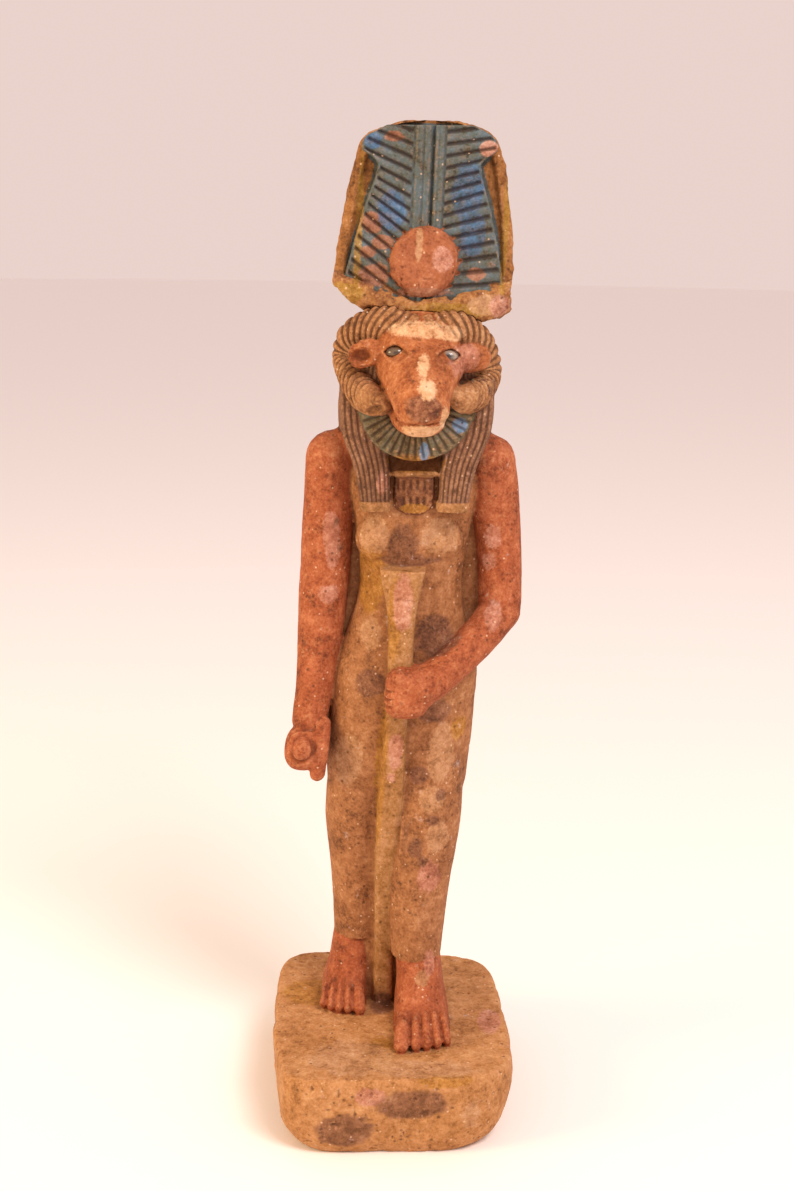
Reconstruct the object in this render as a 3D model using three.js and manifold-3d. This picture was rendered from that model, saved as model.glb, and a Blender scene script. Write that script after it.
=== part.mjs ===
// A standing ram-headed figure in painted stone, with a staff, on a block plinth, under a crown of two tall
// feathers and a disk.
// Millimetres, +Z up. The figure faces -Y, +X is its left side, and the origin is the middle of the plinth's
// underside.
import * as THREE from "three";
import { mergeVertices } from "three/addons/utils/BufferGeometryUtils.js";
import Module from "manifold-3d";

const wasm = await Module();
wasm.setup();

// Driving dimensions
const PLINTH_HEIGHT = 26;
const HEM = 49;
const LAPPET_END = 200;
const CROWN_TOP = 318;
const SLAB_BACK = 13;
const INLAY_GAP = 0.3;
const SEAT_GAP = 0.35;

// How far the figure drifts towards +X as it rises: height, drift
const DRIFT = [
  [60, 0],
  [103, 0.5],
  [146, 3.4],
  [177, 4.5],
  [207, 4.9],
  [248, 5.6],
  [290, 7.4],
  [CROWN_TOP, 8.2],
];

const RIGHT = -1;
const LEFT = 1;
const { lerp, clamp } = THREE.MathUtils;

// A value read from rows of [position, value, value, ...], smooth between rows and level beyond the ends
function along(rows, position, column = 1) {
  const last = rows.length - 1;
  if (position <= rows[0][0]) return rows[0][column];
  if (position >= rows[last][0]) return rows[last][column];
  const i = rows.findIndex((row) => row[0] > position) - 1;
  const slope = (k) => {
    const a = rows[Math.max(k - 1, 0)];
    const b = rows[Math.min(k + 1, last)];
    return (b[column] - a[column]) / (b[0] - a[0]);
  };
  const span = rows[i + 1][0] - rows[i][0];
  const t = (position - rows[i][0]) / span;
  const [t2, t3] = [t * t, t * t * t];
  return (
    (2 * t3 - 3 * t2 + 1) * rows[i][column] +
    (t3 - 2 * t2 + t) * span * slope(i) +
    (3 * t2 - 2 * t3) * rows[i + 1][column] +
    (t3 - t2) * span * slope(i + 1)
  );
}

// Solids and booleans

function solid(geometry) {
  const bare = new THREE.BufferGeometry();
  bare.setAttribute("position", geometry.getAttribute("position").clone());
  if (geometry.index) bare.setIndex(geometry.index.clone());
  const merged = mergeVertices(bare, 1e-4);
  return new wasm.Manifold(
    new wasm.Mesh({
      numProp: 3,
      vertProperties: new Float32Array(merged.attributes.position.array),
      triVerts: new Uint32Array(merged.index.array),
    }),
  );
}

const join = (parts) => parts.reduce((sum, part) => sum.add(part));

// A closed skin over a ball's net: place(v, angle) gives the point at v from 0 to 1 between the two poles
function skin(sides, rings, place) {
  const geometry = new THREE.SphereGeometry(1, sides, rings);
  const position = geometry.getAttribute("position");
  const p = new THREE.Vector3();
  for (let i = 0; i < position.count; i++) {
    p.fromBufferAttribute(position, i);
    const v = Math.round((Math.acos(clamp(p.y, -1, 1)) / Math.PI) * rings) / rings;
    const pole = v === 0 || v === 1;
    const angle = pole ? 0 : Math.atan2(p.z, -p.x);
    position.setXYZ(i, ...place(v, angle));
  }
  return facingOut(geometry);
}

// A closed skin with flat ends: place(t, angle, reach) gives the point at height share t,
// with reach 1 on the wall and 0 in the middle of a cap
function column(sides, rings, place) {
  const geometry = new THREE.CylinderGeometry(1, 1, 1, sides, rings);
  const position = geometry.getAttribute("position");
  for (let i = 0; i < position.count; i++) {
    const [x, y, z] = [position.getX(i), position.getY(i), position.getZ(i)];
    const reach = Math.round(Math.hypot(x, z));
    position.setXYZ(i, ...place(y + 0.5, reach ? Math.atan2(-z, x) : 0, reach));
  }
  return facingOut(geometry);
}

// A solid from a closed geometry, its faces turned round if they point inwards
function facingOut(geometry) {
  const index = geometry.index.array;
  const position = geometry.getAttribute("position");
  const [a, b, c] = [0, 1, 2].map(() => new THREE.Vector3());
  let volume = 0;
  for (let i = 0; i < index.length; i += 3) {
    [a, b, c].forEach((corner, k) => corner.fromBufferAttribute(position, index[i + k]));
    volume += a.dot(b.cross(c));
  }
  for (let i = 0; volume < 0 && i < index.length; i += 3) {
    [index[i + 1], index[i + 2]] = [index[i + 2], index[i + 1]];
  }
  return solid(geometry);
}

const power = (value, n) => (Math.abs(value) < 1e-9 ? 0 : Math.sign(value) * Math.abs(value) ** n);

// An upright column from rows of [z, centre x, centre y, half width, half depth], a plain ellipse at squareness 2
function pillar(rows, { sides = 20, rings = 10, squareness = 2, flutes = 0, flute = 0, from, to } = {}) {
  const low = from ?? rows[0][0];
  const high = to ?? rows[rows.length - 1][0];
  return column(sides, rings, (t, angle, reach) => {
    const z = lerp(low, high, t);
    const [cx, cy, a, b] = [1, 2, 3, 4].map((k) => along(rows, z, k));
    const size = reach * (1 + (flutes ? (flute / a) * Math.cos(flutes * angle) : 0));
    return [
      cx + size * a * power(Math.cos(angle), 2 / squareness),
      cy + size * b * power(Math.sin(angle), 2 / squareness),
      z,
    ];
  });
}

// A limb with round ends along stations of [x, y, z, radius across, radius along the reference]
function limb(stations, { sides = 10, rings = 10, caps = 2, reference = [0, 0, 1], ridge = () => 1 } = {}) {
  const curve = new THREE.CatmullRomCurve3(stations.map((s) => new THREE.Vector3(s[0], s[1], s[2])));
  const last = stations.length - 1;
  const ref = new THREE.Vector3(...reference);
  const table = stations.map((s, i) => [i / last, s[3], s[4] ?? s[3]]);
  return skin(sides, rings, (v, angle) => {
    const ring = Math.round(v * rings);
    const inner = clamp((ring - caps) / (rings - 2 * caps), 0, 1);
    const end = (Math.max(caps - ring, ring - rings + caps, 0) / caps) * (Math.PI / 2);
    const centre = curve.getPoint(inner);
    const tangent = curve.getTangent(inner);
    const across = new THREE.Vector3().crossVectors(tangent, ref).normalize();
    const up = new THREE.Vector3().crossVectors(across, tangent);
    const [r1, r2] = [along(table, inner, 1), along(table, inner, 2)];
    const shrink = Math.cos(end) * ridge(inner);
    centre.addScaledVector(tangent, Math.sin(end) * Math.min(r1, r2) * (inner < 0.5 ? -1 : 1));
    centre.addScaledVector(across, Math.cos(angle) * r1 * shrink);
    centre.addScaledVector(up, Math.sin(angle) * r2 * shrink);
    return centre.toArray();
  });
}

// A ball of half sizes a, b, c, with squareness 2 for a plain ellipsoid
function ball([x, y, z], [a, b, c], sides = 12, rings = 8, squareness = 2) {
  const n = 2 / squareness;
  return skin(sides, rings, (v, angle) => {
    const r = power(Math.sin(v * Math.PI), n);
    return [
      x + a * r * power(Math.cos(angle), n),
      y + b * r * power(Math.sin(angle), n),
      z + c * power(Math.cos(v * Math.PI), n),
    ];
  });
}

// A flat outline of [x, z] points between y = front and y = back, then set back by lean(x, z)
function plate(outline, front, back, bevel = 0, lean = () => 0) {
  const shape = new THREE.Shape(outline.map(([x, z]) => new THREE.Vector2(x, z)));
  const geometry = new THREE.ExtrudeGeometry(shape, {
    depth: back - front - 2 * bevel,
    bevelEnabled: bevel > 0,
    bevelThickness: bevel,
    bevelSize: bevel,
    bevelOffset: -bevel,
    bevelSegments: 1,
    curveSegments: 12,
  });
  geometry.rotateX(Math.PI / 2);
  geometry.translate(0, back - bevel, 0);
  const position = geometry.getAttribute("position");
  for (let i = 0; i < position.count; i++) {
    position.setY(i, position.getY(i) + lean(position.getX(i), position.getZ(i)));
  }
  return solid(geometry);
}

const mirrored = (rows, side) => rows.map(([x, ...rest]) => [side * x, ...rest]);

// Plinth: a rough block, not quite square, its underside rounded away more at the sides than at the front

const PLINTH_CORNERS = {
  frontLeft: [-37.6, -51.5],
  frontRight: [41.2, -46],
  backLeft: [-41, 50],
  backRight: [36, 47],
};

const PLINTH_INSET = [
  // height, at the sides, at the front and back
  [0, 8.6, 3.4],
  [3, 5, 1.4],
  [8, 2, 0.4],
  [17, 0, 0],
  [24, 0.6, 0.8],
  [PLINTH_HEIGHT, 2.4, 2.6],
];

function plinth() {
  const { frontLeft, frontRight, backLeft, backRight } = PLINTH_CORNERS;
  const last = PLINTH_INSET.length - 1;
  return column(26, last, (t, angle, reach) => {
    const [z, side, front] = PLINTH_INSET[Math.round(t * last)];
    const roundness = 0.34 + 0.16 * Math.max(0, Math.cos(angle)) * Math.max(0, -Math.sin(angle));
    const u = reach * power(Math.cos(angle), roundness) * (1 - side / 40);
    const v = reach * power(Math.sin(angle), roundness) * (1 - front / 49);
    const [x, y] = [0, 1].map((k) =>
      lerp(
        lerp(frontLeft[k], frontRight[k], (u + 1) / 2),
        lerp(backLeft[k], backRight[k], (u + 1) / 2),
        (v + 1) / 2,
      ),
    );
    return [x, y, z];
  });
}

// Feet: the left foot is a step ahead of the right one, and each instep slopes down from the hem to the toes

const FEET = [
  {
    side: RIGHT,
    width: 16.2,
    instep: [
      // height, middle x, front y, back y, half width
      [PLINTH_HEIGHT - 1, -16.1, -3, 30, 7.8],
      [28.5, -16.1, -0.6, 30, 7.8],
      [33, -15.7, 2.8, 29, 7.5],
      [39, -14.4, 5.4, 27.6, 7.1],
      [HEM + 0.5, -13.1, 8.2, 25.4, 6.8],
    ],
    root: [-15.9, 4, 32.4],
    tip: [-16.1, -2.8, 28.3],
    reach: [0, -0.5, -0.2, 1, 3],
  },
  {
    side: LEFT,
    width: 19.4,
    instep: [
      [PLINTH_HEIGHT - 1, 10.3, -28, 15, 9.2],
      [28, 10.3, -25, 15, 9.2],
      [31.5, 10.1, -18.6, 15, 8.8],
      [37, 9.7, -12.2, 15, 7.9],
      [HEM - 1, 8.8, -7.4, 14, 7.5],
    ],
    root: [10, -17.6, 31.4],
    tip: [10.4, -29.4, 28.4],
    reach: [0, 0.3, 1.1, 2.4, 4.2],
  },
];

// Shares of the foot's width, from the big toe outwards
const TOES = [0.3, 0.19, 0.18, 0.17, 0.16];

function foot({ side, width, instep, root, tip, reach }) {
  const rows = instep.map(([z, x, front, back, half]) => [z, x, (front + back) / 2, half, (back - front) / 2]);
  const parts = [pillar(rows, { sides: 12, rings: 5, squareness: 2.6 })];
  let edge = -0.5;
  TOES.forEach((share, i) => {
    const across = side * (edge + share / 2) * width;
    const half = (share * width) / 2;
    edge += share;
    parts.push(
      limb(
        [
          [root[0] + across * 0.84, root[1] + reach[i] * 0.3, root[2], half * 0.84, 3],
          [tip[0] + across, tip[1] + reach[i], tip[2], half * 0.93, 2.3],
        ],
        { sides: 6, rings: 4, caps: 1 },
      ),
    );
  });
  return join(parts);
}

// Sheath dress: the trunk from neck to hips, and a leg each below

const TRUNK = [
  [PLINTH_HEIGHT - 1, -2, 14, 9, 5.4],
  [58, -1, 12, 12, 6],
  [80, -0.6, 12, 16, 8.5],
  [103, 0, 12.5, 22.6, 12],
  [118, 0, 12.5, 23.8, 15],
  [132, 0, 12.5, 23.6, 16.6],
  [146, 0, 12, 23.2, 15.8],
  [160, 0, 11.2, 19, 13.6],
  [173, 0, 10.8, 16.6, 12.4],
  [184, 0, 10.6, 17.4, 13.4],
  [196, 0, 11, 19.4, 14.4],
  [208, 0, 12, 22, 13.4],
  [216, 0, 12.5, 20, 10.5],
  [224, 0, 12.5, 12, 8.5],
];

const RIGHT_LEG = [
  [HEM, -10.7, 16.5, 9.2, 9.6],
  [70, -11, 16, 10, 10.6],
  [95, -11.8, 14.5, 11.6, 12.6],
  [128, -9.6, 13, 11.4, 13],
];

const LEFT_LEG = [
  [HEM - 2, 7.6, 3, 8.9, 10.6],
  [70, 8.6, 4, 10.2, 11.6],
  [95, 10, 7, 12.2, 13.4],
  [128, 9.6, 11.6, 11.6, 14],
];

function dress() {
  const bust = [RIGHT, LEFT].map((side) => ball([side * 9.4 - 1, 3.2, 188.8], [7.8, 6, 8.4], 9, 6));
  return join([
    pillar(TRUNK, { sides: 14, rings: 13, squareness: 2.2 }),
    pillar(RIGHT_LEG, { sides: 14, rings: 3 }),
    pillar(LEFT_LEG, { sides: 14, rings: 3 }),
    ...bust,
  ]);
}

// Arms, and the stone left between them and the trunk

const RIGHT_ARM = [
  [-26.4, 12.5, 213, 8.8],
  [-27.2, 12.5, 200, 8.3],
  [-28, 12, 182, 8.2],
  [-28.8, 10.5, 158, 7.5],
  [-29.5, 8.5, 140, 6.2],
  [-30.2, 6.5, 127, 5.8],
];

const LEFT_UPPER_ARM = [
  [24, 12.5, 212, 8.8],
  [26.6, 12.5, 198, 7.9],
  [28.6, 12, 182, 7.2],
  [29.4, 9.5, 165, 7],
];

const SHOULDERS = [
  [-27, 13, 213.4, 7.4, 8],
  [-14, 13, 217, 8, 8],
  [0, 13, 218, 8, 8],
  [14, 13, 217, 8, 8],
  [25, 13, 212.6, 7.4, 8],
];

const LEFT_FOREARM = [
  [29.4, 8.5, 163.8, 6.9],
  [21.7, 1.5, 155.4, 6.3],
  [11.7, -6, 146.8, 6.1],
  [4, -9.5, 142.2, 6.8],
];

// A closed hand: a ball along its own stack of four fingers, each finger a ridge round it
function fist(centre, half, stack) {
  const rings = 8;
  const order = stack === "z" ? [0, 1, 2] : [0, 2, 1];
  return skin(9, rings, (v, angle) => {
    const ridge = Math.round(v * rings) % 2 ? 1.04 : 0.9;
    const r = power(Math.sin(v * Math.PI), 0.5) * ridge;
    const local = [r * Math.cos(angle), r * Math.sin(angle), power(Math.cos(v * Math.PI), 0.9)];
    return order.map((k, i) => centre[i] + half[i] * local[k]);
  });
}

function rightHand() {
  return join([
    fist([-31.2, 3.8, 118], [6.3, 8.2, 7.4], "y"),
    limb(
      [
        [-31.6, 0, 119.8, 3.6],
        [-31.6, -5, 119.8, 3.5],
      ],
      { sides: 10, rings: 4, caps: 1 },
    ),
    limb(
      [
        [-26, 3, 126, 3],
        [-25.7, -1.4, 118.5, 2.8],
        [-26, -0.6, 110.4, 2.6],
      ],
      { sides: 7, rings: 6, caps: 1, reference: [1, 0, 0] },
    ),
  ]);
}

function leftHand() {
  return join([
    fist([0.6, -8.8, 141.2], [7, 7.6, 8.6], "z"),
    limb(
      [
        [7, -10.6, 146, 3.8],
        [-2.2, -13, 146, 3.5],
      ],
      { sides: 7, rings: 4, caps: 1 },
    ),
  ]);
}

function arms() {
  const web = (rows) => pillar(rows, { sides: 8, rings: 2 });
  return join([
    limb(RIGHT_ARM, { sides: 9, rings: 10, reference: [0, 1, 0] }),
    limb(LEFT_UPPER_ARM, { sides: 9, rings: 8, reference: [0, 1, 0] }),
    limb(LEFT_FOREARM, { sides: 9, rings: 8 }),
    limb(SHOULDERS, { sides: 8, rings: 7 }),
    rightHand(),
    leftHand(),
    web([
      [122, -24, 15, 7, 4],
      [150, -22, 17, 9, 4.4],
      [185, -20, 17.5, 8, 4.8],
      [210, -20, 15, 8, 7],
    ]),
    web([
      [151, 17, 15.5, 7, 5],
      [163, 21.4, 17, 9, 4.6],
      [185, 21, 17.5, 9, 4.8],
      [210, 21, 15, 8, 7],
    ]),
  ]);
}

// Papyrus staff with its flared head: z, centre x, y of the front, half width

const STAFF = [
  [PLINTH_HEIGHT - 2, -2.4, 6.2, 3.6],
  [45, -2.2, 3.4, 3.7],
  [75, -2, -1.6, 4.1],
  [104, -1.6, -5.6, 4.1],
  [130, -1.9, -9.4, 3.4],
  [150, -2, -10.8, 3.9],
  [160, -2.1, -11, 4.2],
  [168, -2.5, -11, 4.9],
  [175, -2.7, -11, 6.2],
  [180.5, -2.8, -10.8, 7.5],
];

function staff() {
  const thickness = 11;
  const low = STAFF[0][0];
  const high = STAFF[STAFF.length - 1][0];
  return column(8, 8, (t, angle, reach) => {
    const z = lerp(low, high, t);
    const [cx, front, half] = [1, 2, 3].map((k) => along(STAFF, z, k));
    const turned = angle + Math.PI / 8;
    const x = power(Math.cos(turned), 0.42) * half;
    const y = power(Math.sin(turned), 0.42) * thickness * 0.5;
    const slope = t === 1 ? 0.05 * x : 0;
    return [cx + reach * x, front + thickness * 0.5 + reach * y, z - slope];
  });
}

// Ram's head

// The head is carved a little askew, so the left eye is further out and lower than the right one
const EYES = {
  [RIGHT]: [-6.9, -10.8, 248.8],
  [LEFT]: [8.8, -10.4, 248],
};
const EYE_HALF = [3.3, 2.4, 2];

function eyeBall(side, extra) {
  const half = EYE_HALF.map((value) => value + extra);
  return ball(EYES[side], half, 10, 5);
}

// The carved rim round an eye, drawn out to a point at both corners
function eyeLids(side) {
  const tube = 0.34;
  const [a, , c] = EYE_HALF;
  const [middle, front, level] = EYES[side];
  const geometry = new THREE.TorusGeometry(1, tube, 3, 12);
  const position = geometry.getAttribute("position");
  for (let i = 0; i < position.count; i++) {
    const [x, y, z] = [position.getX(i), position.getY(i), position.getZ(i)];
    const corner = 1 + 0.16 * Math.abs(x / Math.hypot(x, y)) ** 4;
    const back = 0.03 * (x * a) ** 2;
    position.setXYZ(i, middle + x * (a + 0.4) * corner, front - 1.1 + back - 2.6 * z, level + y * (c + 0.6));
  }
  return facingOut(geometry);
}

function headCore(extra = 0) {
  const grow = ([x, y, z, a, b]) => [x, y, z, a + extra, b + extra];
  return join([
    ball([0, -0.4, 250], [13.8 + extra, 12.4 + extra, 11 + extra], 14, 8, 2.5),
    limb(
      [
        [0.3, 1, 246, 13.8, 10.6],
        [0.5, -6.5, 244, 13.5, 10.6],
        [0.5, -13, 240.8, 11.4, 9.6],
        [0.8, -18.8, 236.8, 9.4, 8.2],
        [1.5, -23.4, 233, 8.4, 6.6],
      ].map(grow),
      { sides: 12, rings: 8 },
    ),
  ]);
}

function muzzle() {
  const jaw = limb(
    [
      [0, -2, 234, 9.6, 6],
      [0.3, -12, 229.6, 8.6, 5],
      [1.1, -19, 227.8, 7.4, 3.9],
      [1.6, -22.4, 227.7, 5.8, 3.2],
    ],
    { sides: 12, rings: 7 },
  );
  const nose = ball([1.7, -24.4, 234], [6.8, 5, 5.4], 10, 6);
  const mouth = skin(12, 4, (v, angle) => {
    const r = Math.sin(v * Math.PI);
    const x = 9 * r * Math.cos(angle);
    const lift = 228.7 + 0.02 * x * x + 0.06 * x;
    return [x + 1.6, -21 + 10 * r * Math.sin(angle), lift + 0.45 * Math.cos(v * Math.PI)];
  });
  return { body: join([jaw, nose]), mouth };
}

// The right ear is a hollow leaf, the left one is worn down to a rough lump
const EARS = {
  [RIGHT]: {
    leaf: [
      [-10.5, -6.4, 248.4, 3.2, 2.6],
      [-15, -7, 248.2, 4.1, 2.4],
      [-18.4, -7, 247.8, 4.5, 2.2],
      [-20.2, -6.8, 248.2, 3, 1.7],
    ],
    hollow: [
      [-13.4, -9.6, 247.6, 2, 1.9],
      [-18.4, -9.4, 247.4, 2.7, 1.8],
    ],
  },
  [LEFT]: {
    leaf: [
      [11, -6, 248, 3.6, 3],
      [15.4, -5, 247.2, 4.8, 3.4],
      [19.6, -3.4, 246.8, 3.7, 2.8],
    ],
    hollow: [],
  },
};

function ear(side) {
  const { leaf, hollow } = EARS[side];
  const flat = { reference: [0, 1, 0], sides: 8 };
  const made = limb(leaf, { ...flat, rings: 7 });
  return hollow.length ? made.subtract(limb(hollow, { ...flat, rings: 4, caps: 1 })) : made;
}

const HORNS = {
  [RIGHT]: [
    [-2.5, -6.5, 256, 4.4],
    [-9, -4.6, 257.2, 5.2],
    [-15, -0.8, 255.6, 6],
    [-20, 3, 251.4, 6.2],
    [-21.6, 4.4, 246, 5.6],
    [-20.8, 2, 241.4, 4.9],
    [-17.8, -3.6, 236.6, 5],
    [-13.8, -9, 233.8, 4.8],
    [-11, -12.4, 233, 3.6],
  ],
  [LEFT]: [
    [2.5, -6.5, 256, 4.4],
    [9.2, -4.6, 256.4, 5.2],
    [14.8, -0.8, 253.6, 5.8],
    [18.8, 3, 248.4, 6],
    [20.6, 4.4, 241.8, 5.8],
    [19.8, 1.4, 237, 5],
    [17, -4.6, 234.8, 4.8],
    [14, -10, 234.9, 4.5],
    [11.8, -12.6, 235.6, 3.2],
  ],
};

const HORN_RINGS = 25;
const HORN_SMOOTH = 0.84;

// Ringed from the brow round to where it comes forward again, smooth at the tip
function horn(side, extra = 0) {
  const rows = HORNS[side].map(([x, y, z, r]) => [x, y, z, r + extra]);
  const ridge = (inner) => {
    const ring = Math.round(inner * (HORN_RINGS - 3));
    return extra || inner > HORN_SMOOTH ? 1 : 1 + 0.08 * (-1) ** ring;
  };
  return limb(rows, { sides: 6, rings: HORN_RINGS, caps: 1, reference: [0.2, 1, 0.1], ridge });
}

function head() {
  const { body, mouth } = muzzle();
  const both = [RIGHT, LEFT].flatMap((side) => [eyeLids(side), ear(side), horn(side)]);
  const raised = join([headCore(), body, ...both]);
  const sockets = [RIGHT, LEFT].map((side) => eyeBall(side, INLAY_GAP));
  return raised.subtract(join([mouth, ...sockets]));
}

// Striped wig with two lappets, the collar over it, and the beaded panel between the lappets

function wig() {
  const fall = pillar(
    [
      [203, 0, 20, 18, 8],
      [212, 0, 17.5, 22, 11.5],
      [222, 0, 13.5, 24.6, 14.5],
      [236, -0.4, 9.5, 24.2, 15],
      [248, -0.4, 9.5, 21, 14.5],
      [255, 0, 9.5, 15.6, 12],
      [258.6, 0, 9.5, 9, 7.5],
    ],
    { sides: 32, rings: 4, squareness: 2.2, flutes: 16, flute: 0.7 },
  );
  const lappets = [RIGHT, LEFT].map((side) =>
    pillar(
      [
        [LAPPET_END, side * 12.2, -2.6, 4.6, 5.4],
        [212, side * 13.6, -1.6, 5.6, 5.8],
        [224, side * 16.8, 0, 6.8, 6.4],
        [240, side * 18, 4, 6.4, 7],
      ],
      { sides: 16, rings: 2, squareness: 3, flutes: 8, flute: 0.4 },
    ),
  );
  const bands = [RIGHT, LEFT].map((side) =>
    pillar(
      [
        [LAPPET_END - 1, side * 12.1, -2.6, 5.1, 6],
        [LAPPET_END + 1.8, side * 12.2, -2.6, 5.2, 6.1],
      ],
      { sides: 8, rings: 1, squareness: 3 },
    ),
  );
  const underHorns = ball([0, 3.5, 250], [17, 7, 9], 8, 6);
  return join([fall, underHorns, ...lappets, ...bands]);
}

const COLLAR = { centre: 233.6, inner: 9.5, outer: 18.6, wedges: 11, half: 1.95 };

function collar() {
  const arc = (radius, angle) => [radius * Math.sin(angle), COLLAR.centre - radius * Math.cos(angle)];
  const span = 2 * COLLAR.half;
  const lean = (x, z) => 0.1 * (z - 226) + 0.004 * x * x;
  const steps = Array.from({ length: COLLAR.wedges + 1 }, (_, i) => -COLLAR.half + (i / COLLAR.wedges) * span);
  const hidden = steps.filter((_, i) => i % 3 === 0 || i === COLLAR.wedges);
  const bed = [
    ...steps.map((angle) => arc(COLLAR.outer, angle)),
    ...hidden.toReversed().map((angle) => arc(COLLAR.inner, angle)),
  ];
  const wedges = steps.slice(0, -1).map((from, i) => {
    const gap = 0.018;
    const to = steps[i + 1] - gap;
    return plate(
      [
        arc(COLLAR.outer - 0.5, from + gap),
        arc(COLLAR.outer - 0.5, to),
        arc(COLLAR.inner + 0.8, to),
        arc(COLLAR.inner + 0.8, from + gap),
      ],
      -8.6,
      -6,
      0,
      lean,
    );
  });
  const neck = ball([0, 1, 227], [13, 8, 12], 8, 4, 2.6);
  return join([neck, plate(bed, -7.7, 2, 0, lean), ...wedges]);
}

function beadPanel() {
  const [top, bottom, half, front] = [209.6, 197.6, 6.2, -4.6];
  const outline = [];
  for (let i = 0; i <= 6; i++) {
    const angle = (i / 6) * Math.PI;
    outline.push([-half * Math.cos(angle), bottom + 4 - 4 * Math.sin(angle)]);
  }
  outline.push([half, top], [-half, top]);
  const parts = [plate(outline, front, 6)];
  const rows = [
    [205.6, 3.6, 5],
    [200.6, 3, 4],
  ];
  rows.forEach(([z, height, count]) => {
    for (let i = 0; i < count; i++) {
      const x = lerp(-half + 1.4, half - 1.4, i / (count - 1));
      const w = 0.62;
      parts.push(
        plate(
          [
            [x - w, z],
            [x + w, z],
            [x + w, z + height],
            [x - w, z + height],
          ],
          front - 0.9,
          front + 1,
        ),
      );
    }
  });
  return join(parts);
}

// Crown: a slab with two feathers, a disk and a raised rim along its foot

const FEATHER = { low: 262, high: 316.4, front: -1, groove: 0.8 };
const FEATHER_INNER = { [RIGHT]: -3.9, [LEFT]: 5.1 };
const FEATHER_OUTER = [
  [262, 25.4],
  [273, 23.8],
  [290, 19.8],
  [304.5, 15.6],
  [307, 17.4],
  [309.5, 20.6],
  [313, 19.2],
  [FEATHER.high, 13.4],
];

// Groove rows: height at the rib, and the rise per millimetre outwards
const BARBS = {
  [RIGHT]: {
    count: 16,
    low: 252,
    high: 310.6,
    rise: [
      [252, 0.66],
      [282, 0.74],
      [297, 0.5],
      [311, 0.36],
    ],
  },
  [LEFT]: {
    count: 14,
    low: 264.6,
    high: 310.8,
    rise: [
      [264, 0.02],
      [280, 0.2],
      [294, 0.3],
      [311, 0.14],
    ],
  },
};

const SLAB_HALF = [
  [262, 27.6],
  [274, 27.6],
  [297, 24.8],
  [309, 21.9],
  [313.5, 19.4],
  [316.4, 13.6],
  [CROWN_TOP, 5],
];

function slab() {
  const heights = [268, 284, 297, 305, 309, 312, 314.4, 316.4, CROWN_TOP];
  const half = (z) => along(SLAB_HALF, z);
  return plate(
    [
      [-22.7, 264.3],
      [-17.6, 261.6],
      [-10, 260.2],
      [3.5, 259.2],
      [13, 258.6],
      [21.3, 258.4],
      [27.2, 261],
      ...heights.map((z) => [half(z), z]),
      [3.4, 317.4],
      [1.2, 315.8],
      [-1.2, 317.6],
      ...heights.toReversed().map((z) => [-half(z), z]),
    ],
    2.2,
    SLAB_BACK,
    1,
  );
}

function featherPlate(side) {
  const { low, high, front, groove } = FEATHER;
  const inner = FEATHER_INNER[side];
  const levels = [low + 4, 273, 290, 304.5, 306.2, 308, 310, 313, high];
  const outline = levels.map((z) => [side * along(FEATHER_OUTER, z), z]);
  const vane = plate([...outline, [1.1, high + 0.6], [1.1, low]], front, 3.4);
  const { count, low: first, high: last, rise } = BARBS[side];
  const cuts = Array.from({ length: count }, (_, i) => {
    const z = lerp(first, last, i / (count - 1));
    const reach = 27;
    const end = z + along(rise, z) * (reach - Math.abs(inner));
    const wide = groove / 2;
    return plate(
      [
        [inner, z - wide],
        [side * reach, end - wide],
        [side * reach, end + wide],
        [inner, z + wide],
      ],
      front - 3,
      front + 1.2,
    );
  });
  const ribCut = plate(
    [
      [inner, low],
      [inner - side * 0.9, low],
      [inner - side * 0.9, high - 2],
      [inner, high - 2],
    ],
    front - 3,
    front + 0.8,
  );
  const middleCut = plate(
    [
      [1.1 - side * 0.1, low],
      [1.1 + side * 0.6, low],
      [1.1 + side * 0.6, high + 2],
      [1.1 - side * 0.1, high + 2],
    ],
    front - 3,
    front + 2.2,
  );
  return vane.subtract(join([...cuts, ribCut, middleCut]));
}

function disk() {
  const [x, z, r] = [0, 275.8, 10.7];
  return skin(22, 5, (v, angle) => {
    const share = Math.sin(v * Math.PI);
    const flat = power(Math.cos(v * Math.PI), 0.6);
    return [x + r * share * Math.cos(angle), -0.4 - 3.4 * flat, z + r * share * Math.sin(angle)];
  });
}

function crownFoot() {
  const low = [
    [-27.2, 268.4],
    [-22.7, 264.3],
    [-17.6, 261.6],
    [-10, 260.2],
    [3.5, 259.2],
    [13, 258.6],
    [21.3, 258.4],
    [27.2, 261],
  ];
  const high = [
    [27.6, 270.8],
    [20, 268],
    [11, 266.6],
    [4, 264.8],
    [-2, 263.8],
    [-7, 265.4],
    [-13, 268.6],
    [-20, 270],
    [-27.4, 273],
  ];
  return plate([...low, ...high], -2.6, SLAB_BACK - 1, 0.8);
}

function crown() {
  const whole = join([slab(), featherPlate(RIGHT), featherPlate(LEFT), disk(), crownFoot()]);
  const wigTop = ball([0, 9, 246], [20, 17, 14], 16, 10);
  const seat = join([headCore(SEAT_GAP), horn(RIGHT, 1), horn(LEFT, 1), wigTop]);
  return whole.subtract(seat);
}

// Assembly

function meshOf(made, name, { color, roughness }) {
  const { vertProperties, triVerts } = made.getMesh();
  const positions = Float32Array.from(vertProperties);
  for (let i = 0; i < positions.length; i += 3) {
    positions[i] += along(DRIFT, positions[i + 2]);
  }
  const geometry = new THREE.BufferGeometry();
  geometry.setAttribute("position", new THREE.BufferAttribute(positions, 3));
  geometry.setIndex(new THREE.BufferAttribute(triVerts, 1));
  geometry.computeVertexNormals();
  const material = new THREE.MeshStandardMaterial({ color, roughness, metalness: 0 });
  const mesh = new THREE.Mesh(geometry, material);
  mesh.name = name;
  return mesh;
}

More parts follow.
